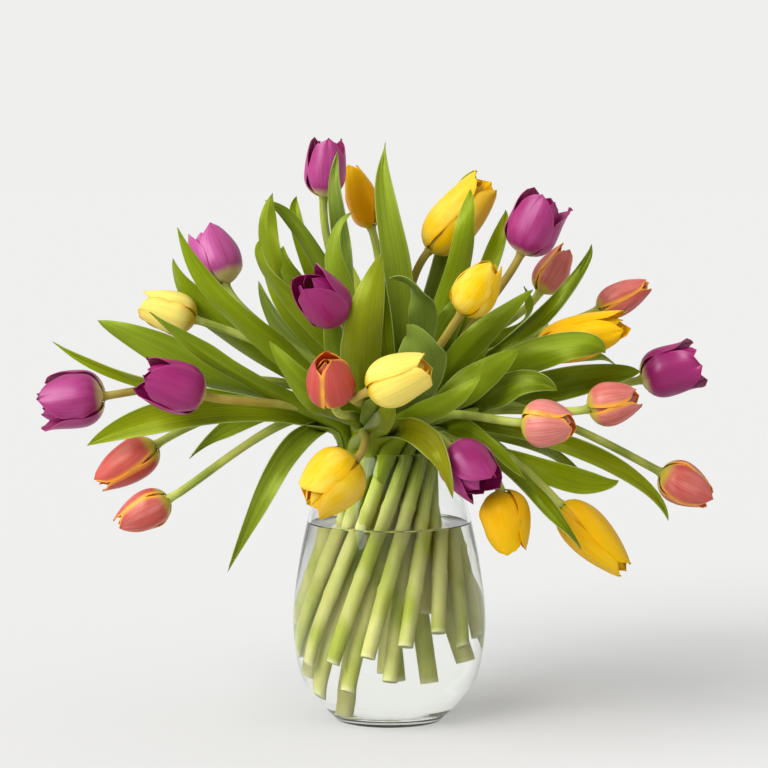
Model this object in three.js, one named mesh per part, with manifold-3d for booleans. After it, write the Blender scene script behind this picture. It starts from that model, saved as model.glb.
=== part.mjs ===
// Tulips in a glass vase: purple, yellow and orange-pink blooms on leafy stems that stand in water.
// Millimetres, +Z up, +X to the right and +Y away from the viewer. The origin is the middle of the
// vase's underside. Each bloom is one mesh of six petals, and each stem carries its own leaves.
import * as THREE from "three";
import { mergeVertices } from "three/addons/utils/BufferGeometryUtils.js";
import Module from "manifold-3d";

const wasm = await Module();
wasm.setup();

// ---------------------------------------------------------------- driving dimensions

const GAP = 0.35; // between pieces that touch
const SEAM_TOLERANCE = 0.1; // for the small facets where fused shapes meet

const VASE = {
  height: 204,
  wall: 2.6,
  floor: 7, // thickness of the glass under the water
  floorCorner: { across: 6, up: 2 }, // slope between the inner floor and the wall
  sides: 26,
  outlineSteps: 8,
  // [radius, height] of the outside, from the flat foot to the rim
  outline: [[40, 0], [56, 16.5], [67, 35], [72.5, 70], [69.8, 107], [61, 153], [47, 204]],
};
const WATER_LEVEL = 148;

const STEM = {
  footRadius: 5.2, // in the water
  sheathRadius: 4.9, // where the leaf bases wrap the stem, at the neck
  topRadius: 3.3, // under the bloom
  taper: 1.6, // it is down to that at 1 / taper of the way to the bloom
  sides: 6,
  waistHeight: 188, // where the bundle is narrowest
  neckHeight: 202, // just under the rim, where the stems start to bend
  lead: 30, // degrees that the heads run ahead of the waist
  lift: 0.4, // how far a stem keeps its direction above the neck, against the way to its head
  archBelow: 240, // heads lower than this hang from stems that arch over the rim
  archReach: 500, // how far below that would bend the stem by its whole reach
  droop: 0.24, // how far it runs along the bloom's axis under the head, against the same way
  steps: 5, // lengths from the neck to the bloom
};

// Each ring of the bundle holds its stems side by side at the waist, at this distance from the
// axis, and all of them lean the same way round it, by so many degrees.
const RINGS = [
  { radius: 8.2, lean: 8 },
  { radius: 19.8, lean: 15 },
  { radius: 31.4, lean: 19.5 },
];

const PETAL = {
  thickness: 1.3,
  rows: [0, 0.26, 0.55, 0.82], // shares of its length; the tip is one more
  seat: { radius: 2.6, height: 0.8 }, // where it starts, from the middle of the bloom's base
  baseWidth: 0.25, // share of the full width there
  widest: 0.5, // share of its length at which it is widest
  halfWidth: 1.1, // there, against the bloom's radius
  taper: 2.6,
  point: 0.6,
  rise: 1.2,
  third: 1.02, // radians to either side, so that the three of a layer stay clear of each other
  narrow: 0.62, // where the cup is narrower than this, against its radius, petals keep their angle
};

// The inner three petals stand within the outer three.
const INNER = {
  rows: [0, 0.35, 0.78],
  seat: { radius: 1.6, height: 2.6 },
  size: 0.72, // distance from the axis, against the outer petals
  reach: 0.94, // height, likewise
};

const CUP = {
  belly: 0.45, // share of a petal's length at which the cup is widest
  closed: 0.3, // radius at the mouth of a bud, against the belly
  opening: 0.75, // how much wider the mouth of an open bloom is
};

// Half-section of the seat that the petals share, [radius, height].
const RECEPTACLE = [[0, 0], [4.2, 0], [3.8, 6], [0, 6.4]];

const LEAF = {
  thickness: 1.3,
  rows: 7,
  rootWidth: 0.25, // share of the full width
  broadest: 0.42, // share of the length at which most leaves are broadest
  shoulder: 0.12, // how far before that they start to narrow towards the tip
  taper: 2.2,
  point: 0.9,
  hollow: { root: 0.32, tip: 0.1 }, // depth of its gutter, against its half width
  wave: 1.6, // height of the waves of its edges
  beat: 1.6, // how many of them there are
  phase: 0.13, // where they start, for each millimetre of the leaf's width
  inward: 40, // how far up the hollow face looks, against the middle's distance from the axis
};

// The bouquet is drawn as it is seen from the front, from this eye. A place is [across, up, out]:
// across and up in the upright plane through the vase's axis, and out of it towards the eye.
const EYE = { distance: 2055, height: 411 };

const COLOUR = {
  purple: 0x8e2a7c,
  yellow: 0xf0c419,
  orange: 0xe0705a,
  green: 0x5f8a1e,
  glass: 0xf2f6f5,
  water: 0xf0f6f6,
};

// ---------------------------------------------------------------- the bouquet

// ring: place in the bundle, 0 at its middle. head: where the bloom sits on its stem. tip: where the
// petals end. radius: of the cup. open: 0 a bud, 1 wide open. turn: of the petals round the bloom, in
// degrees. cut: height of the stem's cut end.
const TULIPS = {
  purple_top: {
    ring: 0,
    head: [-49, 392, -25],
    tip: [-46, 436, -25],
    radius: 16,
    open: 0.6,
    turn: 30,
    cut: 34,
  },
  yellow_behind_top: {
    ring: 0,
    head: [-13, 369, -62],
    tip: [-28, 417, -62],
    radius: 13,
    open: 0,
    turn: 0,
    cut: 34,
  },
  yellow_high: {
    ring: 0,
    head: [29, 352, -30],
    tip: [74, 405, -30],
    radius: 19.5,
    open: 0.35,
    turn: 200,
    cut: 42,
  },
  purple_centre: {
    ring: 0,
    head: [-36, 301, 88],
    tip: [-64, 333, 112],
    radius: 18.5,
    open: 0.45,
    turn: 20,
    cut: 9,
  },
  purple_high_right: {
    ring: 1,
    head: [98, 350, -15],
    tip: [119, 394, -10],
    radius: 20.5,
    open: 0.65,
    turn: 10,
    cut: 38,
  },
  orange_high_right: {
    ring: 1,
    head: [112, 321, -58],
    tip: [133, 355, -58],
    radius: 13.5,
    open: 0.1,
    turn: 50,
    cut: 102,
  },
  yellow_small: {
    ring: 1,
    head: [53, 305, 72],
    tip: [79, 344, 76],
    radius: 17,
    open: 0.05,
    turn: 0,
    cut: 24,
  },
  orange_right: {
    ring: 1,
    head: [155, 308, -45],
    tip: [194, 328, -45],
    radius: 13,
    open: 0.15,
    turn: 90,
    cut: 84,
  },
  yellow_right: {
    ring: 1,
    head: [109, 278, 12],
    tip: [179, 300, 12],
    radius: 16.5,
    open: 0.3,
    turn: 40,
    cut: 30,
  },
  yellow_centre: {
    ring: 1,
    head: [-17, 247, 138],
    tip: [30, 267, 150],
    radius: 18.5,
    open: 0.25,
    turn: 60,
    cut: 36,
  },
  orange_centre: {
    ring: 1,
    head: [-42, 239, 124],
    tip: [-48, 273, 150],
    radius: 17,
    open: 0.15,
    turn: 10,
    cut: 56,
  },
  purple_high_left: {
    ring: 1,
    head: [-122, 327, -30],
    tip: [-139, 368, -42],
    radius: 20,
    open: 0.4,
    turn: 70,
    cut: 96,
  },
  yellow_left: {
    ring: 1,
    head: [-144, 301, 0],
    tip: [-185, 314, 2],
    radius: 16.5,
    open: 0.3,
    turn: 0,
    cut: 60,
  },
  yellow_back: {
    ring: 1,
    head: [14, 276, -128],
    tip: [18, 298, -170],
    radius: 17,
    open: 0.2,
    turn: 15,
    cut: 46,
  },
  purple_right: {
    ring: 2,
    head: [188, 256, -22],
    tip: [233, 270, -22],
    radius: 19.5,
    open: 0.7,
    turn: 30,
    cut: 60,
  },
  orange_front_right: {
    ring: 2,
    head: [99, 224, 108],
    tip: [139, 223, 122],
    radius: 17.5,
    open: 0.2,
    turn: 100,
    cut: 46,
  },
  orange_mid_right: {
    ring: 2,
    head: [148, 234, 62],
    tip: [188, 244, 66],
    radius: 16.5,
    open: 0.1,
    turn: 30,
    cut: 56,
  },
  orange_low_right: {
    ring: 2,
    head: [203, 187, 26],
    tip: [242, 166, 28],
    radius: 16.5,
    open: 0.1,
    turn: 20,
    cut: 72,
  },
  purple_front_right: {
    ring: 2,
    head: [45, 206, 98],
    tip: [74, 173, 116],
    radius: 20,
    open: 0.5,
    turn: 0,
    cut: 50,
  },
  yellow_drooping: {
    ring: 2,
    head: [83, 174, 86],
    tip: [93, 125, 88],
    radius: 18.5,
    open: 0.3,
    turn: 30,
    cut: 50,
  },
  yellow_low_right: {
    ring: 2,
    head: [128, 163, 52],
    tip: [179, 111, 56],
    radius: 17,
    open: 0.1,
    turn: 80,
    cut: 64,
  },
  yellow_front_left: {
    ring: 2,
    head: [-25, 196, 96],
    tip: [-61, 160, 112],
    radius: 22,
    open: 0.35,
    turn: 10,
    cut: 70,
  },
  purple_mid_left: {
    ring: 2,
    head: [-138, 244, 66],
    tip: [-186, 259, 80],
    radius: 19.5,
    open: 0.5,
    turn: 40,
    cut: 48,
  },
  purple_left: {
    ring: 2,
    head: [-213, 244, -5],
    tip: [-264, 236, -5],
    radius: 21,
    open: 0.6,
    turn: 50,
    cut: 96,
  },
  orange_left: {
    ring: 2,
    head: [-174, 208, 22],
    tip: [-220, 177, 26],
    radius: 16,
    open: 0.15,
    turn: 80,
    cut: 96,
  },
  orange_low_left: {
    ring: 2,
    head: [-165, 167, 52],
    tip: [-205, 146, 56],
    radius: 15,
    open: 0.05,
    turn: 20,
    cut: 60,
  },
  purple_back: {
    ring: 2,
    head: [-34, 262, -140],
    tip: [-46, 280, -182],
    radius: 18,
    open: 0.5,
    turn: 0,
    cut: 50,
  },
  orange_back: {
    ring: 2,
    head: [64, 258, -132],
    tip: [78, 270, -172],
    radius: 15,
    open: 0.1,
    turn: 0,
    cut: 64,
  },
};

// Leaves of each tulip. root: height at which the leaf leaves its stem. via: the middle of its rib.
// width: where it is broadest. turn: 0 shows its face to the viewer, 90 its edge. twist: from root
// to tip, in degrees. Some are broadest elsewhere, or have a longer or blunter point than most.
const LEAVES = {
  purple_left: [
    { root: 226, via: [-143, 264, 8], tip: [-219, 301, 0], width: 24, turn: 15, twist: -30, broadest: 0.66 },
  ],
  orange_left: [
    { root: 228, via: [-165, 250, 4], tip: [-252, 285, -6], width: 13, turn: 20, twist: 10 },
  ],
  purple_mid_left: [
    { root: 224, via: [-146, 232, 46], tip: [-226, 207, 40], width: 25, turn: 10, twist: 20, broadest: 0.6 },
    { root: 230, via: [-122, 266, 62], tip: [-180, 307, 56], width: 15, turn: 20, twist: 30 },
  ],
  yellow_left: [
    { root: 234, via: [-111, 301, 30], tip: [-159, 370, 40], width: 19, turn: 15, twist: 20 },
  ],
  purple_high_left: [
    { root: 240, via: [-126, 297, -2], tip: [-161, 347, 8], width: 23, turn: 0, twist: 30, broadest: 0.55 },
  ],
  orange_low_left: [
    { root: 222, via: [-84, 189, 66], tip: [-122, 110, 66], width: 18, turn: 25, twist: 20 },
  ],
  purple_top: [
    { root: 240, via: [-84, 335, 10], tip: [-88, 397, 6], width: 21, turn: 10, twist: 20 },
    { root: 262, via: [-58, 354, -8], tip: [-93, 391, -6], width: 13, turn: 10, twist: 0 },
    { root: 300, via: [-38, 373, -2], tip: [-39, 428, -4], width: 14, turn: 0, twist: 10 },
  ],
  yellow_behind_top: [
    { root: 250, via: [-62, 350, -36], tip: [-70, 394, -40], width: 15, turn: 10, twist: 0 },
    { root: 245, via: [36, 316, -56], tip: [44, 356, -60], width: 17, turn: 0, twist: 10 },
  ],
  yellow_high: [
    { root: 244, via: [2, 366, -12], tip: [-4, 434, -22], width: 22, turn: 5, twist: 40, point: 1.4 },
    { root: 250, via: [52, 345, 10], tip: [60, 399, 14], width: 18, turn: 0, twist: 10 },
    { root: 262, via: [44, 366, -56], tip: [65, 414, -66], width: 15, turn: 0, twist: 0 },
  ],
  purple_centre: [
    { root: 238, via: [-76, 318, 34], tip: [-96, 361, 34], width: 15, turn: 20, twist: 20 },
    { root: 250, via: [-40, 335, 36], tip: [-27, 379, 26], width: 16, turn: 20, twist: 20 },
    { root: 236, via: [-62, 316, 16], tip: [-79, 356, 12], width: 16, turn: 0, twist: 10 },
  ],
  orange_centre: [
    { root: 233, via: [-58, 246, 84], tip: [-91, 285, 84], width: 22, turn: 10, twist: 20 },
    { root: 230, via: [-38, 272, 50], tip: [-44, 318, 56], width: 18, turn: 0, twist: 20 },
    { root: 226, via: [-20, 292, 98], tip: [-8, 350, 84], width: 32, turn: 0, twist: 10 },
  ],
  yellow_small: [
    { root: 236, via: [24, 308, 48], tip: [0, 330, 62], width: 20, turn: 30, twist: 40 },
  ],
  yellow_centre: [
    { root: 222, via: [22, 266, 84], tip: [12, 296, 104], width: 38, turn: 0, twist: 0 },
    { root: 216, via: [-14, 232, 120], tip: [4, 246, 136], width: 14, turn: 30, twist: 20 },
  ],
  purple_high_right: [
    { root: 250, via: [75, 343, -26], tip: [86, 382, -30], width: 15, turn: 10, twist: 10 },
    { root: 236, via: [56, 262, 8], tip: [80, 294, -4], width: 17, turn: 10, twist: 10 },
    { root: 240, via: [40, 290, 20], tip: [58, 322, 16], width: 22, turn: 10, twist: 10 },
  ],
  orange_high_right: [
    { root: 262, via: [96, 294, -36], tip: [100, 326, -32], width: 10, turn: 10, twist: 0 },
  ],
  orange_right: [
    { root: 244, via: [122, 311, -14], tip: [150, 358, -12], width: 13, turn: 10, twist: 10 },
  ],
  yellow_right: [
    { root: 236, via: [64, 286, 40], tip: [108, 325, 34], width: 20, turn: 10, twist: 20 },
    { root: 236, via: [124, 280, 42], tip: [163, 276, 46], width: 24, turn: 10, twist: 20 },
  ],
  purple_right: [
    { root: 230, via: [136, 254, -4], tip: [188, 262, -2], width: 25, turn: 10, twist: 20 },
    { root: 240, via: [130, 272, -30], tip: [175, 266, -34], width: 12, turn: 40, twist: 20 },
  ],
  orange_mid_right: [
    { root: 232, via: [94, 252, 58], tip: [127, 248, 66], width: 22, turn: 10, twist: 20 },
  ],
  orange_front_right: [
    { root: 230, via: [66, 256, 66], tip: [96, 278, 62], width: 24, turn: 0, twist: 20 },
  ],
  purple_front_right: [
    { root: 224, via: [36, 236, 100], tip: [69, 260, 110], width: 17, turn: 20, twist: 30 },
    { root: 218, via: [30, 210, 104], tip: [48, 168, 104], width: 19, turn: 0, twist: 0 },
  ],
  yellow_drooping: [
    { root: 222, via: [64, 214, 86], tip: [105, 182, 98], width: 15, turn: 30, twist: 20 },
  ],
  yellow_low_right: [
    { root: 214, via: [124, 185, 44], tip: [170, 178, 36], width: 19, turn: 10, twist: 60, broadest: 0.6 },
    { root: 214, via: [106, 174, 78], tip: [146, 127, 88], width: 12, turn: 20, twist: 10 },
  ],
  orange_low_right: [
    { root: 226, via: [164, 194, 34], tip: [211, 149, 34], width: 14, turn: 10, twist: 20 },
  ],
  yellow_front_left: [
    { root: 212, via: [-6, 224, 92], tip: [2, 242, 98], width: 16, turn: 0, twist: 0 },
  ],
  purple_back: [
    { root: 230, via: [-66, 280, -80], tip: [-96, 330, -108], width: 22, turn: 10, twist: 20 },
    { root: 224, via: [-96, 232, -104], tip: [-150, 196, -130], width: 18, turn: 20, twist: 20 },
  ],
  yellow_back: [
    { root: 234, via: [-16, 296, -92], tip: [-30, 346, -122], width: 22, turn: 0, twist: 20 },
    { root: 230, via: [34, 300, -90], tip: [62, 356, -110], width: 20, turn: 10, twist: 20 },
  ],
  orange_back: [
    { root: 228, via: [84, 266, -86], tip: [120, 306, -112], width: 20, turn: 10, twist: 20 },
    { root: 224, via: [100, 212, -96], tip: [150, 172, -116], width: 16, turn: 20, twist: 20 },
  ],
};

// ---------------------------------------------------------------- geometry helpers

const RADIANS = Math.PI / 180;
const Z = new THREE.Vector3(0, 0, 1);

// The point that is seen at across and up, and that stands out of the vase's middle plane.
function place([across, up, out]) {
  const share = (EYE.distance - out) / EYE.distance;
  return new THREE.Vector3(across * share, -out, EYE.height + (up - EYE.height) * share);
}

function geometryOf(points, faces) {
  const geometry = new THREE.BufferGeometry();
  const numbers = points.flatMap((point) => point.toArray());
  geometry.setAttribute("position", new THREE.Float32BufferAttribute(numbers, 3));
  geometry.setIndex(faces.flat());
  return geometry;
}

// A closed skin over rings of points that all have the same count, with a flat cap at each end.
function loft(rings) {
  const sides = rings[0].length;
  const faces = [];
  for (let i = 0; i + 1 < rings.length; i += 1) {
    for (let j = 0; j < sides; j += 1) {
      const a = i * sides + j;
      const b = i * sides + ((j + 1) % sides);
      faces.push([a, b, b + sides], [a, b + sides, a + sides]);
    }
  }
  const last = (rings.length - 1) * sides;
  for (let j = 1; j + 1 < sides; j += 1) {
    faces.push([0, j + 1, j], [last, last + j, last + j + 1]);
  }
  return geometryOf(rings.flat(), faces);
}

// A thin blade. Each row holds the points of its upper face from edge to edge and the normal there;
// the lower face lies `thickness` under it and meets it at the edges. Both faces are split alike.
function blade(rows, tip, thickness) {
  const across = rows[0].points.length;
  const upper = rows.map((row) => row.points);
  const lower = rows.map((row) =>
    row.points.map((point, j) => {
      const edge = j === 0 || j === across - 1;
      return edge ? point : point.clone().addScaledVector(row.normals[j], -thickness);
    }),
  );
  const points = [...upper.flat(), ...lower.flat(), tip];
  const top = (i, j) => i * across + j;
  const isEdge = (j) => j === 0 || j === across - 1;
  const under = (i, j) => (isEdge(j) ? top(i, j) : rows.length * across + top(i, j));
  const end = points.length - 1;
  const faces = [];
  for (let i = 0; i + 1 < rows.length; i += 1) {
    for (let j = 0; j + 1 < across; j += 1) {
      faces.push([top(i, j), top(i, j + 1), top(i + 1, j + 1)]);
      faces.push([top(i, j), top(i + 1, j + 1), top(i + 1, j)]);
      faces.push([under(i, j), under(i + 1, j + 1), under(i, j + 1)]);
      faces.push([under(i, j), under(i + 1, j), under(i + 1, j + 1)]);
    }
  }
  const last = rows.length - 1;
  for (let j = 0; j + 1 < across; j += 1) {
    faces.push([top(last, j), top(last, j + 1), end]);
    faces.push([under(last, j + 1), under(last, j), end]);
    faces.push([top(0, j + 1), top(0, j), under(0, j)]);
    faces.push([top(0, j + 1), under(0, j), under(0, j + 1)]);
  }
  return geometryOf(points, faces.filter((f) => new Set(f).size === 3));
}

function solid(geometry) {
  const bare = geometry.index ? geometry.toNonIndexed() : geometry.clone();
  bare.deleteAttribute("normal");
  bare.deleteAttribute("uv");
  const merged = mergeVertices(bare, 1e-4);
  const made = new wasm.Manifold(
    new wasm.Mesh({
      numProp: 3,
      vertProperties: merged.attributes.position.array,
      triVerts: new Uint32Array(merged.index.array),
    }),
  );
  if (made.volume() > 0) return made;
  throw new Error("a solid is inside out");
}

function geometryFrom(manifold) {
  const mesh = manifold.getMesh();
  const positions = new Float32Array(mesh.numVert * 3);
  for (let i = 0; i < mesh.numVert; i += 1) {
    positions.set(mesh.vertProperties.subarray(i * mesh.numProp, i * mesh.numProp + 3), i * 3);
  }
  const geometry = new THREE.BufferGeometry();
  geometry.setAttribute("position", new THREE.BufferAttribute(positions, 3));
  geometry.setIndex(new THREE.BufferAttribute(mesh.triVerts, 1));
  geometry.computeVertexNormals();
  return geometry;
}

// ---------------------------------------------------------------- vase and water

function vaseWall() {
  const spline = new THREE.SplineCurve(VASE.outline.map(([radius, z]) => new THREE.Vector2(radius, z)));
  return spline.getPoints(VASE.outlineSteps);
}

// The part of the outline above the floor's corner, moved inwards.
function wallInside(inset) {
  return vaseWall()
    .filter((point) => point.y > VASE.floor + VASE.floorCorner.up)
    .map((point) => new THREE.Vector2(point.x - inset, point.y));
}

function vaseGeometry() {
  const inside = wallInside(VASE.wall);
  const profile = [
    new THREE.Vector2(0, 0),
    ...vaseWall(),
    ...inside.slice().reverse(),
    new THREE.Vector2(inside[0].x - VASE.floorCorner.across, VASE.floor),
    new THREE.Vector2(0, VASE.floor),
  ];
  return new THREE.LatheGeometry(profile, VASE.sides);
}

function waterGeometry() {
  const wall = wallInside(VASE.wall + GAP);
  const above = wall.findIndex((point) => point.y >= WATER_LEVEL);
  const share = (WATER_LEVEL - wall[above - 1].y) / (wall[above].y - wall[above - 1].y);
  const bottom = VASE.floor + GAP;
  const profile = [
    new THREE.Vector2(0, bottom),
    new THREE.Vector2(wall[0].x - VASE.floorCorner.across, bottom),
    ...wall.slice(0, above),
    wall[above - 1].clone().lerp(wall[above], share),
    new THREE.Vector2(0, WATER_LEVEL),
  ];
  return new THREE.LatheGeometry(profile, VASE.sides);
}

// ---------------------------------------------------------------- stems

const azimuth = (p) => Math.atan2(p.y, p.x);

// Shares out the places of each ring among its tulips, in the order of their heads round the vase.
function waistAngles() {
  const angles = {};
  RINGS.forEach((_, ring) => {
    const names = Object.keys(TULIPS).filter((name) => TULIPS[name].ring === ring);
    names.sort((a, b) => azimuth(place(TULIPS[a].head)) - azimuth(place(TULIPS[b].head)));
    const step = (2 * Math.PI) / names.length;
    let sine = 0;
    let cosine = 0;
    names.forEach((name, k) => {
      const ahead = azimuth(place(TULIPS[name].head)) - k * step;
      sine += Math.sin(ahead);
      cosine += Math.cos(ahead);
    });
    const start = Math.atan2(sine, cosine) - STEM.lead * RADIANS;
    names.forEach((name, k) => {
      angles[name] = start + k * step;
    });
  });
  return angles;
}

const WAIST_ANGLES = waistAngles();

function onRing(radius, angle, z) {
  return new THREE.Vector3(radius * Math.cos(angle), radius * Math.sin(angle), z);
}

// A straight run from the cut end to the neck, and a curve from there into the bloom.
function stemPath(name) {
  const tulip = TULIPS[name];
  const { radius, lean } = RINGS[tulip.ring];
  const angle = WAIST_ANGLES[name];
  const waist = onRing(radius, angle, STEM.waistHeight);
  const rise = onRing(Math.sin(lean * RADIANS), angle + Math.PI / 2, Math.cos(lean * RADIANS));
  const at = (height) => waist.clone().addScaledVector(rise, (height - waist.z) / rise.z);
  const foot = at(tulip.cut);
  const neck = at(STEM.neckHeight);
  const head = place(tulip.head);
  const axis = place(tulip.tip).sub(head).normalize();
  const reach = head.distanceTo(neck);
  const lift = STEM.lift + Math.max(0, STEM.archBelow - head.z) / STEM.archReach;
  const curve = new THREE.CubicBezierCurve3(
    neck,
    neck.clone().addScaledVector(rise, lift * reach),
    head.clone().addScaledVector(axis, -STEM.droop * reach),
    head,
  );
  return { foot, neck, rise, curve, head, axis };
}

// Rings of a round stem along points, each with its radius, without any turning of the section.
// The last ring is square to `end`.
function tubeRings(points, radii, sides, end) {
  const rings = [];
  let side = new THREE.Vector3(1, 0, 0);
  points.forEach((point, i) => {
    const before = points[Math.max(0, i - 1)];
    const after = points[i + 1] ?? point.clone().add(end);
    const along = i + 1 < points.length ? after.clone().sub(before).normalize() : end;
    side = side.clone().addScaledVector(along, -side.dot(along)).normalize();
    const other = along.clone().cross(side);
    const ring = [];
    for (let k = 0; k < sides; k += 1) {
      const a = (k / sides) * 2 * Math.PI;
      ring.push(
        point
          .clone()
          .addScaledVector(side, Math.cos(a) * radii[i])
          .addScaledVector(other, Math.sin(a) * radii[i]),
      );
    }
    rings.push(ring);
  });
  return rings;
}

// A stem keeps its full thickness up to here, and its hole in the water runs as far.
const ABOVE_WATER = 4;

function stemGeometry(path) {
  const { foot, rise, curve, axis } = path;
  const top = path.head.clone().addScaledVector(axis, -GAP);
  const waterline = foot.clone().addScaledVector(rise, (WATER_LEVEL + ABOVE_WATER - foot.z) / rise.z);
  const points = [foot, waterline];
  const radii = [STEM.footRadius, STEM.footRadius];
  for (let i = 0; i <= STEM.steps; i += 1) {
    const t = i / STEM.steps;
    points.push(i === STEM.steps ? top : curve.getPoint(t));
    radii.push(THREE.MathUtils.lerp(STEM.sheathRadius, STEM.topRadius, Math.min(1, t * STEM.taper)));
  }
  return loft(tubeRings(points, radii, STEM.sides, axis));
}

// The plain hole that a stem stands in.
function stemHole({ foot, rise }) {
  const bottom = foot.clone().addScaledVector(rise, -GAP);
  const above = foot.clone().addScaledVector(rise, (WATER_LEVEL + ABOVE_WATER - foot.z) / rise.z);
  const radius = STEM.footRadius + GAP / Math.cos(Math.PI / STEM.sides);
  return loft(tubeRings([bottom, above], [radius, radius], STEM.sides, rise));
}

// ---------------------------------------------------------------- leaves

// Width of a leaf at share t of its length, against its full width: a clasping root, a broad middle
// and a long point.
function leafWidth(leaf, t) {
  const broadest = leaf.broadest ?? LEAF.broadest;
  const opened = Math.sin((Math.PI / 2) * Math.min(1, t / broadest));
  const swell = LEAF.rootWidth + (1 - LEAF.rootWidth) * opened;
  const shoulder = broadest - LEAF.shoulder;
  const toTip = Math.max(0, (t - shoulder) / (1 - shoulder));
  return swell * Math.pow(1 - Math.pow(toTip, LEAF.taper), leaf.point ?? LEAF.point);
}

// A leaf that swings out moves its middle by this share of its tip's way.
const VIA_SWING = 0.6;

// The rib is a parabola from the stem through the leaf's middle to its tip. The blade keeps its
// angle to that curve's plane, apart from its twist.
function leafGeometry(leaf, swing) {
  const root = leaf.start.clone();
  const via = place([leaf.via[0], leaf.via[1], leaf.via[2] + VIA_SWING * swing.out]);
  const tip = place([leaf.tip[0], leaf.tip[1], leaf.tip[2] + swing.out]);
  const control = via.clone().multiplyScalar(2).addScaledVector(root, -0.5).addScaledVector(tip, -0.5);
  const rib = new THREE.QuadraticBezierCurve3(root, control, tip);
  const plane = control.clone().sub(root).cross(tip.clone().sub(control)).normalize();
  const middle = rib.getTangent(0.5);
  const flat = middle.clone().cross(new THREE.Vector3(0, 1, 0)).normalize();
  const start = Math.atan2(flat.dot(plane.clone().cross(middle)), flat.dot(plane));
  const inward = new THREE.Vector3(-via.x, -via.y, LEAF.inward);
  const rows = [];
  for (let i = 0; i < LEAF.rows; i += 1) {
    const t = i / LEAF.rows;
    const point = rib.getPoint(t);
    const along = rib.getTangent(t);
    const angle = start + (leaf.turn + swing.turn + leaf.twist * (t - 0.5)) * RADIANS;
    const side = plane
      .clone()
      .multiplyScalar(Math.cos(angle))
      .addScaledVector(plane.clone().cross(along), Math.sin(angle))
      .normalize();
    const normal = side.clone().cross(along).normalize();
    const depth = THREE.MathUtils.lerp(LEAF.hollow.root, LEAF.hollow.tip, t);
    const cup = normal.dot(inward) < 0 ? -depth : depth;
    const half = (leaf.width / 2) * leafWidth(leaf, t);
    const swell = LEAF.wave * (half / leaf.width) * Math.min(1, 3 * t);
    const wave = swell * Math.sin(2 * Math.PI * (LEAF.beat * t + LEAF.phase * leaf.width));
    rows.push({
      points: [
        point.clone().addScaledVector(side, -half).addScaledVector(normal, cup * half + wave),
        point.clone(),
        point.clone().addScaledVector(side, half).addScaledVector(normal, cup * half - wave),
      ],
      normals: [normal, normal, normal],
    });
  }
  return blade(rows, tip, LEAF.thickness);
}

// ---------------------------------------------------------------- blooms

// The cup's half-section: distance from its axis, as a share of its radius, at share s of a petal.
function cupRadius(s, open) {
  if (s < CUP.belly) return Math.pow(1 - Math.pow(1 - s / CUP.belly, 2), 0.6);
  const mouth = CUP.closed + CUP.opening * open;
  return 1 - (1 - mouth) * Math.pow((s - CUP.belly) / (1 - CUP.belly), 2);
}

function petalWidth(s) {
  const opened = Math.sin((Math.PI / 2) * Math.min(1, s / PETAL.widest));
  const swell = PETAL.baseWidth + (1 - PETAL.baseWidth) * opened;
  const toTip = Math.max(0, (s - PETAL.widest) / (1 - PETAL.widest));
  return PETAL.halfWidth * swell * Math.pow(1 - Math.pow(toTip, PETAL.taper), PETAL.point);
}

// One petal in the bloom's own frame, with the bloom's axis along +Z and its seat at the origin.
function petalGeometry(bloom, index) {
  const inner = index % 2 === 1;
  const across = inner ? 3 : 4;
  const size = inner ? INNER.size : 1;
  const reach = inner ? INNER.reach : 1;
  const seat = inner ? INNER.seat : PETAL.seat;
  const middle = (index * 60 + bloom.turn) * RADIANS;
  const at = (s, v) => {
    const radius = Math.max(seat.radius, bloom.radius * size * cupRadius(s, bloom.open));
    const spread = (petalWidth(s) * bloom.radius * size) / Math.max(radius, PETAL.narrow * bloom.radius);
    const angle = middle + v * Math.min(PETAL.third, spread);
    const rise = (bloom.length - seat.height) * reach * Math.pow(s, PETAL.rise);
    return onRing(radius, angle, seat.height + rise);
  };
  const rows = (inner ? INNER.rows : PETAL.rows).map((s) => {
    const points = [];
    const normals = [];
    for (let j = 0; j < across; j += 1) {
      const v = -1 + (2 * j) / (across - 1);
      const point = at(s, v);
      points.push(point);
      const slope = at(Math.min(1, s + 0.05), v).sub(at(Math.max(0, s - 0.05), v)).normalize();
      const round = new THREE.Vector3(-point.y, point.x, 0).normalize();
      normals.push(round.cross(slope).normalize());
    }
    return { points, normals };
  });
  return blade(rows, at(1, 0), PETAL.thickness);
}

// The seat of the petals: a six-sided stub on the end of the stem, with a side to each petal.
function receptacle(turn) {
  const profile = RECEPTACLE.map(([radius, z]) => new THREE.Vector2(radius, z));
  return new THREE.LatheGeometry(profile, 6).rotateX(Math.PI / 2).rotateZ((turn + 30) * RADIANS);
}

function bloomSolid(name, path) {
  const tulip = TULIPS[name];
  const bloom = { ...tulip, length: place(tulip.tip).distanceTo(path.head) };
  const pieces = [solid(receptacle(bloom.turn))];
  for (let k = 0; k < 6; k += 1) pieces.push(solid(petalGeometry(bloom, k)));
  const shells = wasm.Manifold.union(pieces).simplify(SEAM_TOLERANCE).decompose();
  const upright = shells.reduce((most, shell) => (shell.volume() > most.volume() ? shell : most));
  const turn = new THREE.Quaternion().setFromUnitVectors(Z, path.axis);
  const matrix = new THREE.Matrix4().compose(path.head, turn, new THREE.Vector3(1, 1, 1));
  return upright.transform(matrix.elements);
}

// ---------------------------------------------------------------- assembly

function finish(color, roughness, opacity = 1) {
  return new THREE.MeshStandardMaterial({ color, roughness, opacity, transparent: opacity < 1 });
}

const material = {
  purple: finish(COLOUR.purple, 0.5),
  yellow: finish(COLOUR.yellow, 0.5),
  orange: finish(COLOUR.orange, 0.5),
  green: finish(COLOUR.green, 0.45),
  glass: finish(COLOUR.glass, 0.05, 0.3),
  water: finish(COLOUR.water, 0.02, 0.3),
};

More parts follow.
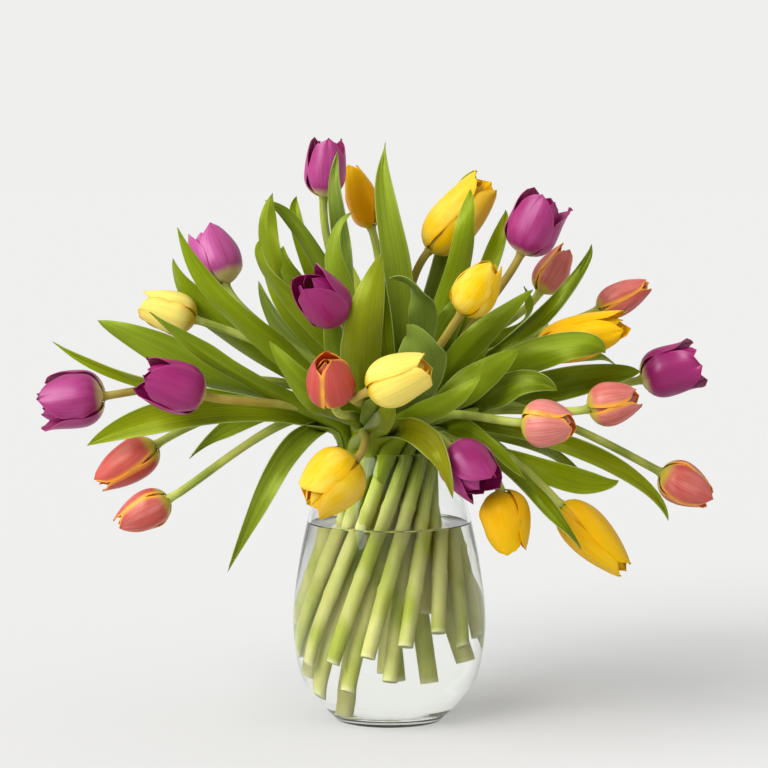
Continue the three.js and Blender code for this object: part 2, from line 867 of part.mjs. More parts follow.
const names = Object.keys(TULIPS);
const paths = Object.fromEntries(names.map((name) => [name, stemPath(name)]));
const upright = (geometry) => geometry.rotateX(Math.PI / 2);

const vase = solid(upright(vaseGeometry()));
const blooms = Object.fromEntries(names.map((name) => [name, bloomSolid(name, paths[name])]));
const stems = Object.fromEntries(names.map((name) => [name, solid(stemGeometry(paths[name]))]));

// A leaf is tried as drawn, and then bent nearer or further and turned, by growing steps, until it
// touches nothing but its own stem.
const TRIES = { steps: 9, out: 8, turns: [0, 25, -25, 50, -50] };
const SWINGS = [];
for (let step = 0; step <= TRIES.steps; step += 1) {
  for (const turn of TRIES.turns) {
    SWINGS.push({ out: TRIES.out * step, turn });
    if (step > 0) SWINGS.push({ out: -TRIES.out * step, turn });
  }
}

function boxesMeet(a, b) {
  return [0, 1, 2].every((k) => a.min[k] < b.max[k] + GAP && b.min[k] < a.max[k] + GAP);
}

const obstacles = [{ shape: vase }];
for (const name of names) {
  obstacles.push({ shape: blooms[name] }, { shape: stems[name], owner: name });
}

function isBlocked(name, shape) {
  const box = shape.boundingBox();
  return obstacles.some((other) => {
    const near = other.owner !== name && boxesMeet(box, other.shape.boundingBox());
    return near && shape.minGap(other.shape, 1) < GAP;
  });
}

for (const name of names) {
  const points = paths[name].curve.getPoints(60);
  const summit = Math.max(...points.map((point) => point.z));
  for (const leaf of LEAVES[name] ?? []) {
    leaf.start = points.find((point) => point.z >= Math.min(leaf.root, summit));
    leaf.swing = SWINGS.find((swing) => !isBlocked(name, solid(leafGeometry(leaf, swing))));
    if (!leaf.swing) continue;
    leaf.solid = solid(leafGeometry(leaf, leaf.swing));
    obstacles.push({ shape: leaf.solid, owner: name });
  }
}

const group = new THREE.Group();

function add(name, manifold, surface) {
  const mesh = new THREE.Mesh(geometryFrom(manifold), surface);
  mesh.name = name;
  group.add(mesh);
}

const holes = wasm.Manifold.union(names.map((name) => solid(stemHole(paths[name]))));
add("vase", vase, material.glass);
add("water", solid(upright(waterGeometry())).subtract(holes), material.water);
for (const name of names) {
  const leaves = (LEAVES[name] ?? []).map((leaf) => leaf.solid).filter(Boolean);
  const leafy = wasm.Manifold.union([stems[name], ...leaves]).simplify(SEAM_TOLERANCE);
  add(`stem_${name}`, leafy, material.green);
  add(`bloom_${name}`, blooms[name], material[name.split("_")[0]]);
}

export default group;
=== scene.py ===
# Tulips in a glass vase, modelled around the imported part: purple, yellow and orange-pink blooms on
# leafy stems that stand in water. Metres, +Z up, +X to the right and +Y away from the viewer.
import random
from math import atan2, cos, exp, pi, radians, sin
from typing import NamedTuple

import bmesh
import bpy
from mathutils import Matrix, Vector
from mathutils.geometry import interpolate_bezier


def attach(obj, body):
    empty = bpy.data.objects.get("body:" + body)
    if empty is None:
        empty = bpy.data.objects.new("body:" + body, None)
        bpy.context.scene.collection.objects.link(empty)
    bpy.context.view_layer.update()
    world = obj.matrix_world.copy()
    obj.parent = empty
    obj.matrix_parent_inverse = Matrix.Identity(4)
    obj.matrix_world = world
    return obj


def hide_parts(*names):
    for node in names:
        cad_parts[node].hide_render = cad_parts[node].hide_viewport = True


bl_info = {
    "name": "Tulips in a Vase",
    "version": (1, 0, 0),
    "blender": (4, 5, 0),
    "location": "3D View > Sidebar > Tulips",
    "description": "Models a bouquet of tulips that stands in water in a glass vase",
    "category": "Object",
}

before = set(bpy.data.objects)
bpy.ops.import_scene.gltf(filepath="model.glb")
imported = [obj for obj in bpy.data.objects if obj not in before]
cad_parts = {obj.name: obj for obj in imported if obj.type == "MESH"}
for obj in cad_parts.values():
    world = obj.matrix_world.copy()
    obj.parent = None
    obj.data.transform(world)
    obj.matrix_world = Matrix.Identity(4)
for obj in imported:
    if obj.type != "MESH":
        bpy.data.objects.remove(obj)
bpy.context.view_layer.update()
BODY = "root"


# ---------------------------------------------------------------- the bouquet


class Tulip(NamedTuple):
    """One flower. The head and the tip of its petals are places: across, up and out."""

    ring: int
    head: tuple
    tip: tuple
    radius: float
    open: float  # 0 a bud, 1 wide open
    turn: float  # of the petals round the bloom, in degrees
    cut: float  # height of the stem's cut end


class Leaf(NamedTuple):
    """One leaf. It leaves its stem at the height `root`; via and tip are places."""

    root: float
    via: tuple
    tip: tuple
    width: float
    turn: float  # 0 shows its face to the viewer, 90 its edge
    twist: float  # from root to tip, in degrees
    broadest: float = 0.42  # share of its length at which it is broadest
    point: float = 0.9  # above 1 for a longer point
    tint: float = None  # above 0 leans to a lighter olive, below 0 to a duller green; None is by chance


# Where the viewer's eye is, and the point that it looks at.
EYE = Vector((-0.004, -2.055, 0.411))
AIM = Vector((-0.004, 0, 0.253))

TULIPS = {
    "purple_top": Tulip(0, (-0.049, 0.392, -0.025), (-0.046, 0.436, -0.025), 0.016, 0.6, 30, 0.034),
    "yellow_behind_top": Tulip(0, (-0.013, 0.369, -0.062), (-0.028, 0.417, -0.062), 0.013, 0, 0, 0.034),
    "yellow_high": Tulip(0, (0.029, 0.352, -0.03), (0.074, 0.405, -0.03), 0.0195, 0.35, 200, 0.042),
    "purple_centre": Tulip(0, (-0.036, 0.301, 0.088), (-0.064, 0.333, 0.112), 0.0185, 0.45, 20, 0.009),
    "purple_high_right": Tulip(1, (0.098, 0.35, -0.015), (0.119, 0.394, -0.01), 0.0205, 0.65, 10, 0.038),
    "orange_high_right": Tulip(1, (0.112, 0.321, -0.058), (0.133, 0.355, -0.058), 0.0135, 0.1, 50, 0.102),
    "yellow_small": Tulip(1, (0.053, 0.305, 0.072), (0.079, 0.344, 0.076), 0.017, 0.05, 0, 0.024),
    "orange_right": Tulip(1, (0.155, 0.308, -0.045), (0.194, 0.328, -0.045), 0.013, 0.15, 90, 0.084),
    "yellow_right": Tulip(1, (0.109, 0.278, 0.012), (0.179, 0.3, 0.012), 0.0165, 0.3, 40, 0.03),
    "yellow_centre": Tulip(1, (-0.017, 0.247, 0.138), (0.03, 0.267, 0.15), 0.0185, 0.25, 60, 0.036),
    "orange_centre": Tulip(1, (-0.042, 0.239, 0.124), (-0.048, 0.273, 0.15), 0.0175, 0.1, 70, 0.056),
    "purple_high_left": Tulip(1, (-0.122, 0.327, -0.03), (-0.139, 0.368, -0.042), 0.02, 0.4, 70, 0.096),
    "yellow_left": Tulip(1, (-0.144, 0.301, 0.0), (-0.185, 0.314, 0.002), 0.0165, 0.3, 0, 0.06),
    "yellow_back": Tulip(1, (0.014, 0.276, -0.128), (0.018, 0.298, -0.17), 0.017, 0.2, 15, 0.046),
    "purple_right": Tulip(2, (0.188, 0.256, -0.022), (0.233, 0.27, -0.022), 0.0195, 0.7, 30, 0.06),
    "orange_front_right": Tulip(2, (0.099, 0.224, 0.108), (0.139, 0.223, 0.122), 0.0175, 0.15, 160, 0.046),
    "orange_mid_right": Tulip(2, (0.148, 0.234, 0.062), (0.188, 0.244, 0.066), 0.0165, 0.1, 90, 0.056),
    "orange_low_right": Tulip(2, (0.203, 0.187, 0.026), (0.242, 0.166, 0.028), 0.0165, 0.1, 20, 0.072),
    "purple_front_right": Tulip(2, (0.045, 0.206, 0.098), (0.074, 0.173, 0.116), 0.02, 0.6, 60, 0.05),
    "yellow_drooping": Tulip(2, (0.083, 0.174, 0.086), (0.093, 0.125, 0.088), 0.0185, 0.3, 30, 0.05),
    "yellow_low_right": Tulip(2, (0.128, 0.163, 0.052), (0.179, 0.111, 0.056), 0.017, 0.1, 80, 0.064),
    "yellow_front_left": Tulip(2, (-0.025, 0.196, 0.096), (-0.061, 0.16, 0.112), 0.022, 0.24, 10, 0.07),
    "purple_mid_left": Tulip(2, (-0.138, 0.244, 0.066), (-0.186, 0.259, 0.08), 0.0195, 0.5, 40, 0.048),
    "purple_left": Tulip(2, (-0.213, 0.244, -0.005), (-0.264, 0.236, -0.005), 0.021, 0.6, 50, 0.096),
    "orange_left": Tulip(2, (-0.174, 0.208, 0.022), (-0.22, 0.177, 0.026), 0.016, 0.15, 80, 0.096),
    "orange_low_left": Tulip(2, (-0.165, 0.167, 0.052), (-0.205, 0.146, 0.056), 0.015, 0.05, 20, 0.06),
    "purple_back": Tulip(2, (-0.034, 0.262, -0.14), (-0.046, 0.28, -0.182), 0.018, 0.5, 0, 0.05),
    "orange_back": Tulip(2, (0.064, 0.258, -0.132), (0.078, 0.27, -0.172), 0.015, 0.1, 0, 0.064),
}

LEAVES = {
    "purple_top": (
        Leaf(0.24, (-0.084, 0.335, 0.01), (-0.088, 0.397, 0.006), 0.021, 10, 20),
        Leaf(0.262, (-0.058, 0.354, -0.008), (-0.093, 0.391, -0.006), 0.013, 10, 0),
        Leaf(0.3, (-0.038, 0.373, -0.002), (-0.039, 0.428, -0.004), 0.014, 0, 10),
    ),
    "yellow_behind_top": (
        Leaf(0.25, (-0.062, 0.35, -0.036), (-0.07, 0.394, -0.04), 0.015, 10, 0),
        Leaf(0.245, (0.036, 0.316, -0.056), (0.044, 0.356, -0.06), 0.017, 0, 10),
    ),
    "yellow_high": (
        Leaf(0.244, (0.002, 0.366, -0.012), (-0.004, 0.434, -0.022), 0.022, 5, 40, point=1.4, tint=-0.35),
        Leaf(0.25, (0.052, 0.345, 0.01), (0.06, 0.399, 0.014), 0.018, 0, 10, tint=0.1),
        Leaf(0.262, (0.044, 0.366, -0.056), (0.065, 0.414, -0.066), 0.015, 0, 0, tint=-0.2),
        Leaf(0.236, (0.004, 0.3, -0.02), (0.01, 0.354, -0.034), 0.03, 0, 10),
    ),
    "purple_centre": (
        Leaf(0.238, (-0.076, 0.318, 0.034), (-0.096, 0.361, 0.034), 0.015, 20, 20),
        Leaf(0.25, (-0.04, 0.335, 0.036), (-0.027, 0.379, 0.026), 0.016, 20, 20),
        Leaf(0.236, (-0.062, 0.316, 0.016), (-0.079, 0.356, 0.012), 0.016, 0, 10),
    ),
    "purple_high_right": (
        Leaf(0.25, (0.075, 0.343, -0.026), (0.086, 0.382, -0.03), 0.015, 10, 10),
        Leaf(0.236, (0.056, 0.262, 0.008), (0.08, 0.294, -0.004), 0.017, -15, 10),
        Leaf(0.24, (0.04, 0.29, 0.02), (0.058, 0.322, 0.016), 0.022, 10, 10),
    ),
    "orange_high_right": (
        Leaf(0.262, (0.096, 0.294, -0.0408), (0.1, 0.326, -0.04), 0.01, -40, 0),
    ),
    "yellow_small": (
        Leaf(0.236, (0.024, 0.308, 0.048), (0.0, 0.33, 0.062), 0.02, 30, 40, tint=-1.0),
    ),
    "orange_right": (
        Leaf(0.244, (0.122, 0.311, -0.014), (0.15, 0.358, -0.012), 0.013, 10, 10),
    ),
    "yellow_right": (
        Leaf(0.236, (0.064, 0.286, 0.04), (0.108, 0.325, 0.034), 0.02, 10, 20),
        Leaf(0.236, (0.124, 0.28, 0.042), (0.163, 0.276, 0.046), 0.024, 10, 20),
    ),
    "yellow_centre": (
        Leaf(0.222, (0.022, 0.266, 0.084), (0.012, 0.296, 0.104), 0.038, 0, 0, tint=-0.8),
        Leaf(0.216, (-0.014, 0.232, 0.0864), (0.004, 0.246, 0.08), 0.014, -20, 20, tint=-0.6),
    ),
    "orange_centre": (
        Leaf(0.233, (-0.058, 0.246, 0.084), (-0.091, 0.285, 0.084), 0.022, 10, 20, tint=0.2),
        Leaf(0.23, (-0.038, 0.272, 0.05), (-0.044, 0.318, 0.056), 0.018, 0, 20, tint=-0.3),
        Leaf(0.226, (-0.019, 0.292, 0.098), (-0.006, 0.35, 0.084), 0.029, -8, 24, tint=1.0),
    ),
    "purple_high_left": (
        Leaf(0.24, (-0.126, 0.297, -0.0116), (-0.161, 0.347, -0.008), 0.023, 25, 30, broadest=0.55),
    ),
    "yellow_left": (
        Leaf(0.234, (-0.111, 0.301, 0.03), (-0.159, 0.37, 0.04), 0.019, 15, 20),
    ),
    "yellow_back": (
        Leaf(0.234, (-0.016, 0.296, -0.092), (-0.03, 0.346, -0.122), 0.022, 0, 20),
        Leaf(0.23, (0.034, 0.3, -0.09), (0.062, 0.356, -0.11), 0.02, 10, 20),
    ),
    "purple_right": (
        Leaf(0.23, (0.136, 0.254, -0.004), (0.188, 0.262, -0.002), 0.025, 10, 20),
        Leaf(0.24, (0.13, 0.272, -0.03), (0.175, 0.266, -0.034), 0.012, 40, 20),
    ),
    "orange_front_right": (
        Leaf(0.23, (0.066, 0.256, 0.066), (0.096, 0.278, 0.062), 0.024, 0, 20),
    ),
    "orange_mid_right": (
        Leaf(0.232, (0.094, 0.252, 0.058), (0.127, 0.248, 0.066), 0.022, 10, 20),
    ),
    "orange_low_right": (
        Leaf(0.226, (0.164, 0.194, 0.034), (0.211, 0.149, 0.034), 0.014, 10, 20),
    ),
    "purple_front_right": (
        Leaf(0.224, (0.036, 0.236, 0.1), (0.069, 0.26, 0.11), 0.017, 20, 30, tint=0.3),
        Leaf(0.218, (0.03, 0.21, 0.1136), (0.048, 0.168, 0.12), 0.019, 0, 0, tint=1.0),
    ),
    "yellow_drooping": (
        Leaf(0.222, (0.064, 0.214, 0.086), (0.105, 0.182, 0.098), 0.015, 30, 20),
    ),
    "yellow_low_right": (
        Leaf(0.214, (0.124, 0.185, 0.044), (0.17, 0.178, 0.036), 0.019, 10, 60, broadest=0.6),
        Leaf(0.214, (0.106, 0.174, 0.078), (0.146, 0.127, 0.088), 0.012, 20, 10),
    ),
    "yellow_front_left": (
        Leaf(0.212, (-0.006, 0.224, 0.092), (0.002, 0.242, 0.098), 0.016, 0, 0, tint=0.8),
    ),
    "purple_mid_left": (
        Leaf(0.224, (-0.146, 0.232, 0.046), (-0.226, 0.207, 0.04), 0.025, -15, 20, broadest=0.6, tint=0.3),
        Leaf(0.23, (-0.122, 0.266, 0.062), (-0.18, 0.307, 0.056), 0.015, 20, 30, tint=0.2),
    ),
    "purple_left": (
        Leaf(0.226, (-0.143, 0.264, 0.008), (-0.219, 0.301, 0.0), 0.024, 15, -30, broadest=0.66),
    ),
    "orange_left": (
        Leaf(0.228, (-0.165, 0.25, 0.004), (-0.252, 0.285, -0.006), 0.013, 20, 10),
    ),
    "orange_low_left": (
        Leaf(0.222, (-0.084, 0.189, 0.0564), (-0.122, 0.11, 0.05), 0.018, 0, 20, tint=-0.3),
    ),
    "purple_back": (
        Leaf(0.23, (-0.066, 0.28, -0.08), (-0.096, 0.33, -0.108), 0.022, 10, 20),
        Leaf(0.224, (-0.096, 0.232, -0.104), (-0.15, 0.196, -0.13), 0.018, 20, 20),
    ),
    "orange_back": (
        Leaf(0.228, (0.084, 0.266, -0.086), (0.12, 0.306, -0.112), 0.02, 10, 20),
        Leaf(0.224, (0.1, 0.212, -0.096), (0.15, 0.172, -0.116), 0.016, 20, 20),
    ),
}

# How far the colour of a bloom leans: above 0 to a deeper one, below 0 to a paler one. Partly the blooms' own
# colours and partly painted light: purple_right, and along with their own amber yellow_behind_top,
# yellow_drooping and yellow_low_right, are deepened as painted shade, and purple_top is paled as a painted
# sheen.
TINTS_AND_PAINTED_LIGHT = {
    "yellow_behind_top": 0.7,
    "yellow_drooping": 0.4,
    "yellow_low_right": 0.35,
    "yellow_right": 0.4,
    "yellow_high": 0.15,
    "yellow_front_left": 0.1,
    "yellow_left": -0.7,
    "yellow_centre": -0.6,
    "purple_high_left": -0.7,
    "purple_top": -0.35,
    "purple_centre": 0.4,
    "purple_mid_left": 0.3,
    "purple_right": 0.5,
    "orange_high_right": -0.35,
    "orange_centre": 0.4,
    "orange_left": 0.3,
    "orange_front_right": -0.5,
    "orange_mid_right": -0.3,
}

# Petals that hang away from their bloom, by so many radians.
LOOSE_PETALS = {
    "purple_left": {0: 0.2},
    "yellow_front_left": {0: 0.1, 2: 0.22},
    "yellow_right": {4: 0.25},
}

# Stems that redden towards the bloom.
BLUSHED_STEMS = (
    "purple_left",
    "yellow_centre",
    "yellow_high",
    "yellow_right",
    "yellow_small",
    "purple_high_right",
    "purple_mid_left",
    "yellow_front_left",
)

# Each ring of the bundle holds its stems side by side at the waist: its distance from the axis, and
# how far all its stems lean the same way round.
RINGS = ((0.0082, radians(8)), (0.0198, radians(15)), (0.0314, radians(19.5)))
WAIST_HEIGHT = 0.188
NECK_HEIGHT = 0.202  # where the stems start to bend, just under the rim
HEAD_LEAD = radians(30)  # how far the heads run ahead of the waist
STEM_LIFT = 0.4  # how far a stem keeps its direction above the neck, against the way to its head
ARCH_BELOW = 0.24  # heads lower than this hang from stems that arch over the rim
ARCH_REACH = 0.5  # how far below that would bend the stem by its whole reach
STEM_DROOP = 0.24  # how far it runs along the bloom's axis under the head, against the same way
CURVE_STEPS = 60  # lengths from the neck to the bloom
# Painted light is measured from this point: leaves near it are painted darker as painted shade, and stems far
# from it paler as painted light.
PAINTED_SHADE_MIDDLE = (0, 0, 0.27)  # where the leaves grow most densely

# Radius and height of the vase's outside, from its foot to its rim.
OUTLINE = (
    (0.04, 0),
    (0.056, 0.0165),
    (0.067, 0.035),
    (0.0725, 0.07),
    (0.0698, 0.107),
    (0.061, 0.153),
    (0.047, 0.204),
)


def srgb(red, green, blue):
    """A colour in Blender's linear values, from its 0 to 255 screen values."""
    return tuple(((v / 255 + 0.055) / 1.055) ** 2.4 if v > 10 else v / 3295 for v in (red, green, blue))


def darker(tint, share):
    return tuple(value * share for value in tint)


def lighter(tint, share):
    return tuple(value + (1 - value) * share for value in tint)


# ---------------------------------------------------------------- settings


def colour(name, screen, description):
    return bpy.props.FloatVectorProperty(
        name=name, description=description, subtype="COLOR", size=3, min=0, max=1, default=srgb(*screen)
    )


def number(name, default, description, **more):
    return bpy.props.FloatProperty(name=name, description=description, default=default, min=0, **more)


def length(name, default, description):
    return number(name, default, description, unit="LENGTH", precision=4)


def faces(name, default, description):
    return bpy.props.IntProperty(name=name, description=description, default=default, min=4)


class VaseSettings(bpy.types.PropertyGroup):
    wall: length("Wall", 0.0026, "Thickness of the glass")
    floor: length("Floor", 0.0072, "Height of the inner floor above the table")
    water_level: length("Water level", 0.148, "Height of the water")
    glass: colour("Glass", (254, 255, 254), "Tint of the glass")
    water: colour("Water", (254, 254, 252), "Tint of the water")


class StemSettings(bpy.types.PropertyGroup):
    foot_radius: length("Foot radius", 0.0053, "Radius of a stem in the water")
    sheath_radius: length("Sheath radius", 0.0047, "Radius at the neck, where leaf bases wrap the stem")
    top_radius: length("Top radius", 0.0031, "Radius under the bloom")
    wet: colour("In water", (200, 199, 124), "Colour of the stems under water")
    green: colour("Green patches", (150, 164, 14), "Colour of the greener patches under water")
    dry: colour("In air", (144, 162, 48), "Colour of the stems above water")
    # Painted light: stems that stand free of the leaves get this paler colour, as if more lit.
    outer: colour("Outside", (184, 188, 98), "Colour of the stems where they stand free")
    blush: colour("Blush", (158, 116, 54), "Colour of some stems near the bloom")


class LeafSettings(bpy.types.PropertyGroup):
    thickness: length("Thickness", 0.0008, "Thickness of a leaf")
    wave: length("Wave", 0.003, "Height of the waves along its edges")
    deep: colour("Deep green", (58, 78, 0), "Colour of the darker leaves")
    fresh: colour("Fresh green", (132, 148, 0), "Colour of the lighter leaves")
    under: colour("Underside", (116, 138, 26), "Colour of the bloom-dusted underside")
    pale: colour("Pale green", (150, 166, 30), "Colour at the root and along the edges")
    olive: colour("Olive", (136, 132, 10), "Colour that the lighter leaves lean to")
    dull: colour("Grey green", (134, 156, 84), "Colour that the duller leaves lean to")
    withered: colour("Tips", (140, 112, 60), "Colour that the tips wither to")


class BloomSettings(bpy.types.PropertyGroup):
    thickness: length("Petal thickness", 0.0006, "Thickness of a petal")
    purple: colour("Purple", (150, 22, 102), "Colour of the purple petals")
    yellow: colour("Yellow", (224, 180, 2), "Colour of the yellow petals")
    orange: colour("Orange pink", (188, 82, 76), "Colour of the orange-pink petals")


class StageSettings(bpy.types.PropertyGroup):
    floor: colour("Floor", (203, 203, 203), "Colour of the paper on the table")
    glow: number("Glow", 0.085, "Light that the paper gives off")
    backdrop: colour("Backdrop", (239, 239, 237), "Colour of the surroundings")
    sun: number("Key light", 3.83, "Strength of the key light")
    fill: number("Fill light", 0.7, "Share of the backdrop's light that falls on things")
    mirror: number("Mirrored", 0.3, "Share of that light that glass and water mirror")
    softness: number("Softness", radians(34), "Width of the key light", subtype="ANGLE")
    lens: number("Lens", 128.8, "Focal length in millimetres")


# ---------------------------------------------------------------- paths


def place(spot):
    """The point that is seen from the front at `across` and `up` in the vase's middle plane, and that
    stands `out` of that plane, towards the viewer."""
    across, up, out = spot
    share = (EYE.y + out) / EYE.y
    return Vector((across * share, -out, EYE.z + (up - EYE.z) * share))


def azimuth(point):
    return atan2(point.y, point.x)


def on_ring(radius, angle, height):
    return Vector((radius * cos(angle), radius * sin(angle), height))


def waist_angles():
    """Shares out the places of each ring among its tulips, in the order of their heads."""
    angles = {}
    for ring in range(len(RINGS)):
        heads = {name: azimuth(place(tulip.head)) for name, tulip in TULIPS.items() if tulip.ring == ring}
        names = sorted(heads, key=heads.get)
        step = 2 * pi / len(names)
        ahead = [heads[name] - k * step for k, name in enumerate(names)]
        start = atan2(sum(map(sin, ahead)), sum(map(cos, ahead))) - HEAD_LEAD
        for k, name in enumerate(names):
            angles[name] = start + k * step
    return angles


WAIST_ANGLES = waist_angles()


class StemPath:
    """A straight run from the cut end to the neck, and a curve from there into the bloom."""

    def __init__(self, name):
        tulip = TULIPS[name]
        radius, lean = RINGS[tulip.ring]
        angle = WAIST_ANGLES[name]
        waist = on_ring(radius, angle, WAIST_HEIGHT)
        rise = on_ring(sin(lean), angle + pi / 2, cos(lean))
        neck = waist + rise * ((NECK_HEIGHT - waist.z) / rise.z)
        self.foot = waist + rise * ((tulip.cut - waist.z) / rise.z)
        self.head = place(tulip.head)
        self.axis = (place(tulip.tip) - self.head).normalized()
        reach = (self.head - neck).length
        lift = STEM_LIFT + max(0, ARCH_BELOW - self.head.z) / ARCH_REACH
        upper = neck + rise * lift * reach
        lower = self.head - self.axis * STEM_DROOP * reach
        self.curve = interpolate_bezier(neck, upper, lower, self.head, CURVE_STEPS + 1)

    def below(self, start, distance):
        """The point on the stem that lies `distance` along it below the curve's point `start`."""
        i = start
        while i > 0 and distance > (self.curve[i] - self.curve[i - 1]).length:
            distance -= (self.curve[i] - self.curve[i - 1]).length
            i -= 1
        down = self.curve[i - 1] - self.curve[i] if i > 0 else self.foot - self.curve[0]
        return self.curve[i] + down.normalized() * distance

    def carry(self, bm):
        """Turns a mesh that was made upright to the bloom's axis, and puts it on the stem."""
        turn = Vector((0, 0, 1)).rotation_difference(self.axis).to_matrix().to_4x4()
        bmesh.ops.transform(bm, matrix=Matrix.Translation(self.head) @ turn, verts=bm.verts)


# ---------------------------------------------------------------- mesh tools


def piece(name, bm, material, nodes, sharpest=0.9):
    """Makes an object of a finished mesh, which stands for the CAD nodes. It is smooth but for the
    edges that turn by more than `sharpest`, in radians."""
    for face in bm.faces:
        face.smooth = True
    for edge in bm.edges:
        edge.smooth = edge.calc_face_angle(0) < sharpest
    mesh = bpy.data.meshes.new(name)
    bm.to_mesh(mesh)
    bm.free()
    made = bpy.data.objects.new(name, mesh)
    made.data.materials.append(material)
    bpy.context.scene.collection.objects.link(made)
    if nodes:
        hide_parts(*nodes)
    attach(made, BODY)
    return made


def new_bmesh():
    """An empty mesh. `grain` holds a point's place on its petal, leaf or stem, `side` its face, and
    `tint` how far its colour leans."""
    bm = bmesh.new()
    bm.verts.layers.float_vector.new("grain")
    bm.verts.layers.float.new("side")
    bm.verts.layers.float.new("tint")
    return bm


def spun(profile, steps=96):
    """A mesh turned round the vase's axis. The profile holds (radius, height) pairs."""
    bm = new_bmesh()
    points = [bm.verts.new((radius, 0, height)) for radius, height in profile]
    geom = points + [bm.edges.new(pair) for pair in zip(points, points[1:])]
    bmesh.ops.spin(bm, geom=geom, angle=2 * pi, steps=steps, axis=(0, 0, 1), cent=(0, 0, 0), use_merge=True)
    bmesh.ops.remove_doubles(bm, verts=bm.verts, dist=1e-6)
    bmesh.ops.recalc_face_normals(bm, faces=bm.faces)
    return bm


def turned(along, previous=None):
    """A square frame whose third axis runs along, without any turning about it."""
    side = previous.col[0].to_3d() if previous else Vector((1, 0, 0))
    side = (side - along * side.dot(along)).normalized()
    other = along.cross(side)
    return Matrix((side, other, along)).transposed().to_4x4()


def sweep(bm, points, radii, sides):
    """Extrudes a round section along the points, and closes both ends."""
    grain = bm.verts.layers.float_vector["grain"]
    last = len(points) - 1
    spot = Matrix.Identity(4)
    section = None
    edges = []
    for i, point in enumerate(points):
        along = (points[min(i + 1, last)] - points[max(i - 1, 0)]).normalized()
        section = turned(along, section)
        target = Matrix.Translation(point) @ section @ Matrix.Diagonal((radii[i], radii[i], radii[i], 1))
        if i == 0:
            verts = bmesh.ops.create_circle(bm, cap_ends=True, radius=1, segments=sides)["verts"]
            for vert in verts:
                vert[grain] = (vert.co.x, vert.co.y, 0)
            edges = list({edge for vert in verts for edge in vert.link_edges})
            bmesh.ops.reverse_faces(bm, faces=list({face for vert in verts for face in vert.link_faces}))
        else:
            made = bmesh.ops.extrude_edge_only(bm, edges=edges)["geom"]
            verts = [item for item in made if isinstance(item, bmesh.types.BMVert)]
            edges = [item for item in made if isinstance(item, bmesh.types.BMEdge)]
        bmesh.ops.transform(bm, matrix=target @ spot.inverted(), verts=verts)
        for vert in verts:
            vert[grain].z = i / last
        spot = target
    bmesh.ops.contextual_create(bm, geom=edges)


def sheet(bm, across, along, shape, tone, thickness, outside, tint):
    """A thin blade. `shape` puts each point in place from its share across, -1 to 1, and along, 0 to 1.
    The face that the grid shows gets the side value `outside`, and the other one the rest to 1."""
    grain = bm.verts.layers.float_vector["grain"]
    side = bm.verts.layers.float["side"]
    lean = bm.verts.layers.float["tint"]
    grid = bmesh.ops.create_grid(bm, x_segments=across, y_segments=along, size=1)["verts"]
    front = list({face for vert in grid for face in vert.link_faces})
    for vert in grid:
        u, s = vert.co.x, (vert.co.y + 1) / 2
        vert[grain] = (u, s, tone)
        vert[side] = outside
        vert[lean] = tint
        vert.co = shape(u, s)
    bmesh.ops.remove_doubles(bm, verts=grid, dist=2e-5)
    front = [face for face in front if face.is_valid]
    bm.normal_update()
    copied = bmesh.ops.extrude_face_region(bm, geom=front, use_keep_orig=True)["geom"]
    back = [item for item in copied if isinstance(item, bmesh.types.BMVert)]
    for vert in back:
        vert.co -= vert.normal * thickness
        vert[side] = 1 - outside
    shell = {face for vert in back for face in vert.link_faces} | set(front)
    bmesh.ops.recalc_face_normals(bm, faces=list(shell))


def smooth_step(low, high, value):
    share = min(1, max(0, (value - low) / (high - low)))
    return share * share * (3 - 2 * share)


def swell(share, broadest):
    """Width of a leaf or petal from its narrow root to its broadest part, against that part's."""
    return 0.25 + 0.75 * sin(pi / 2 * min(1, share / broadest))


# ---------------------------------------------------------------- material tools


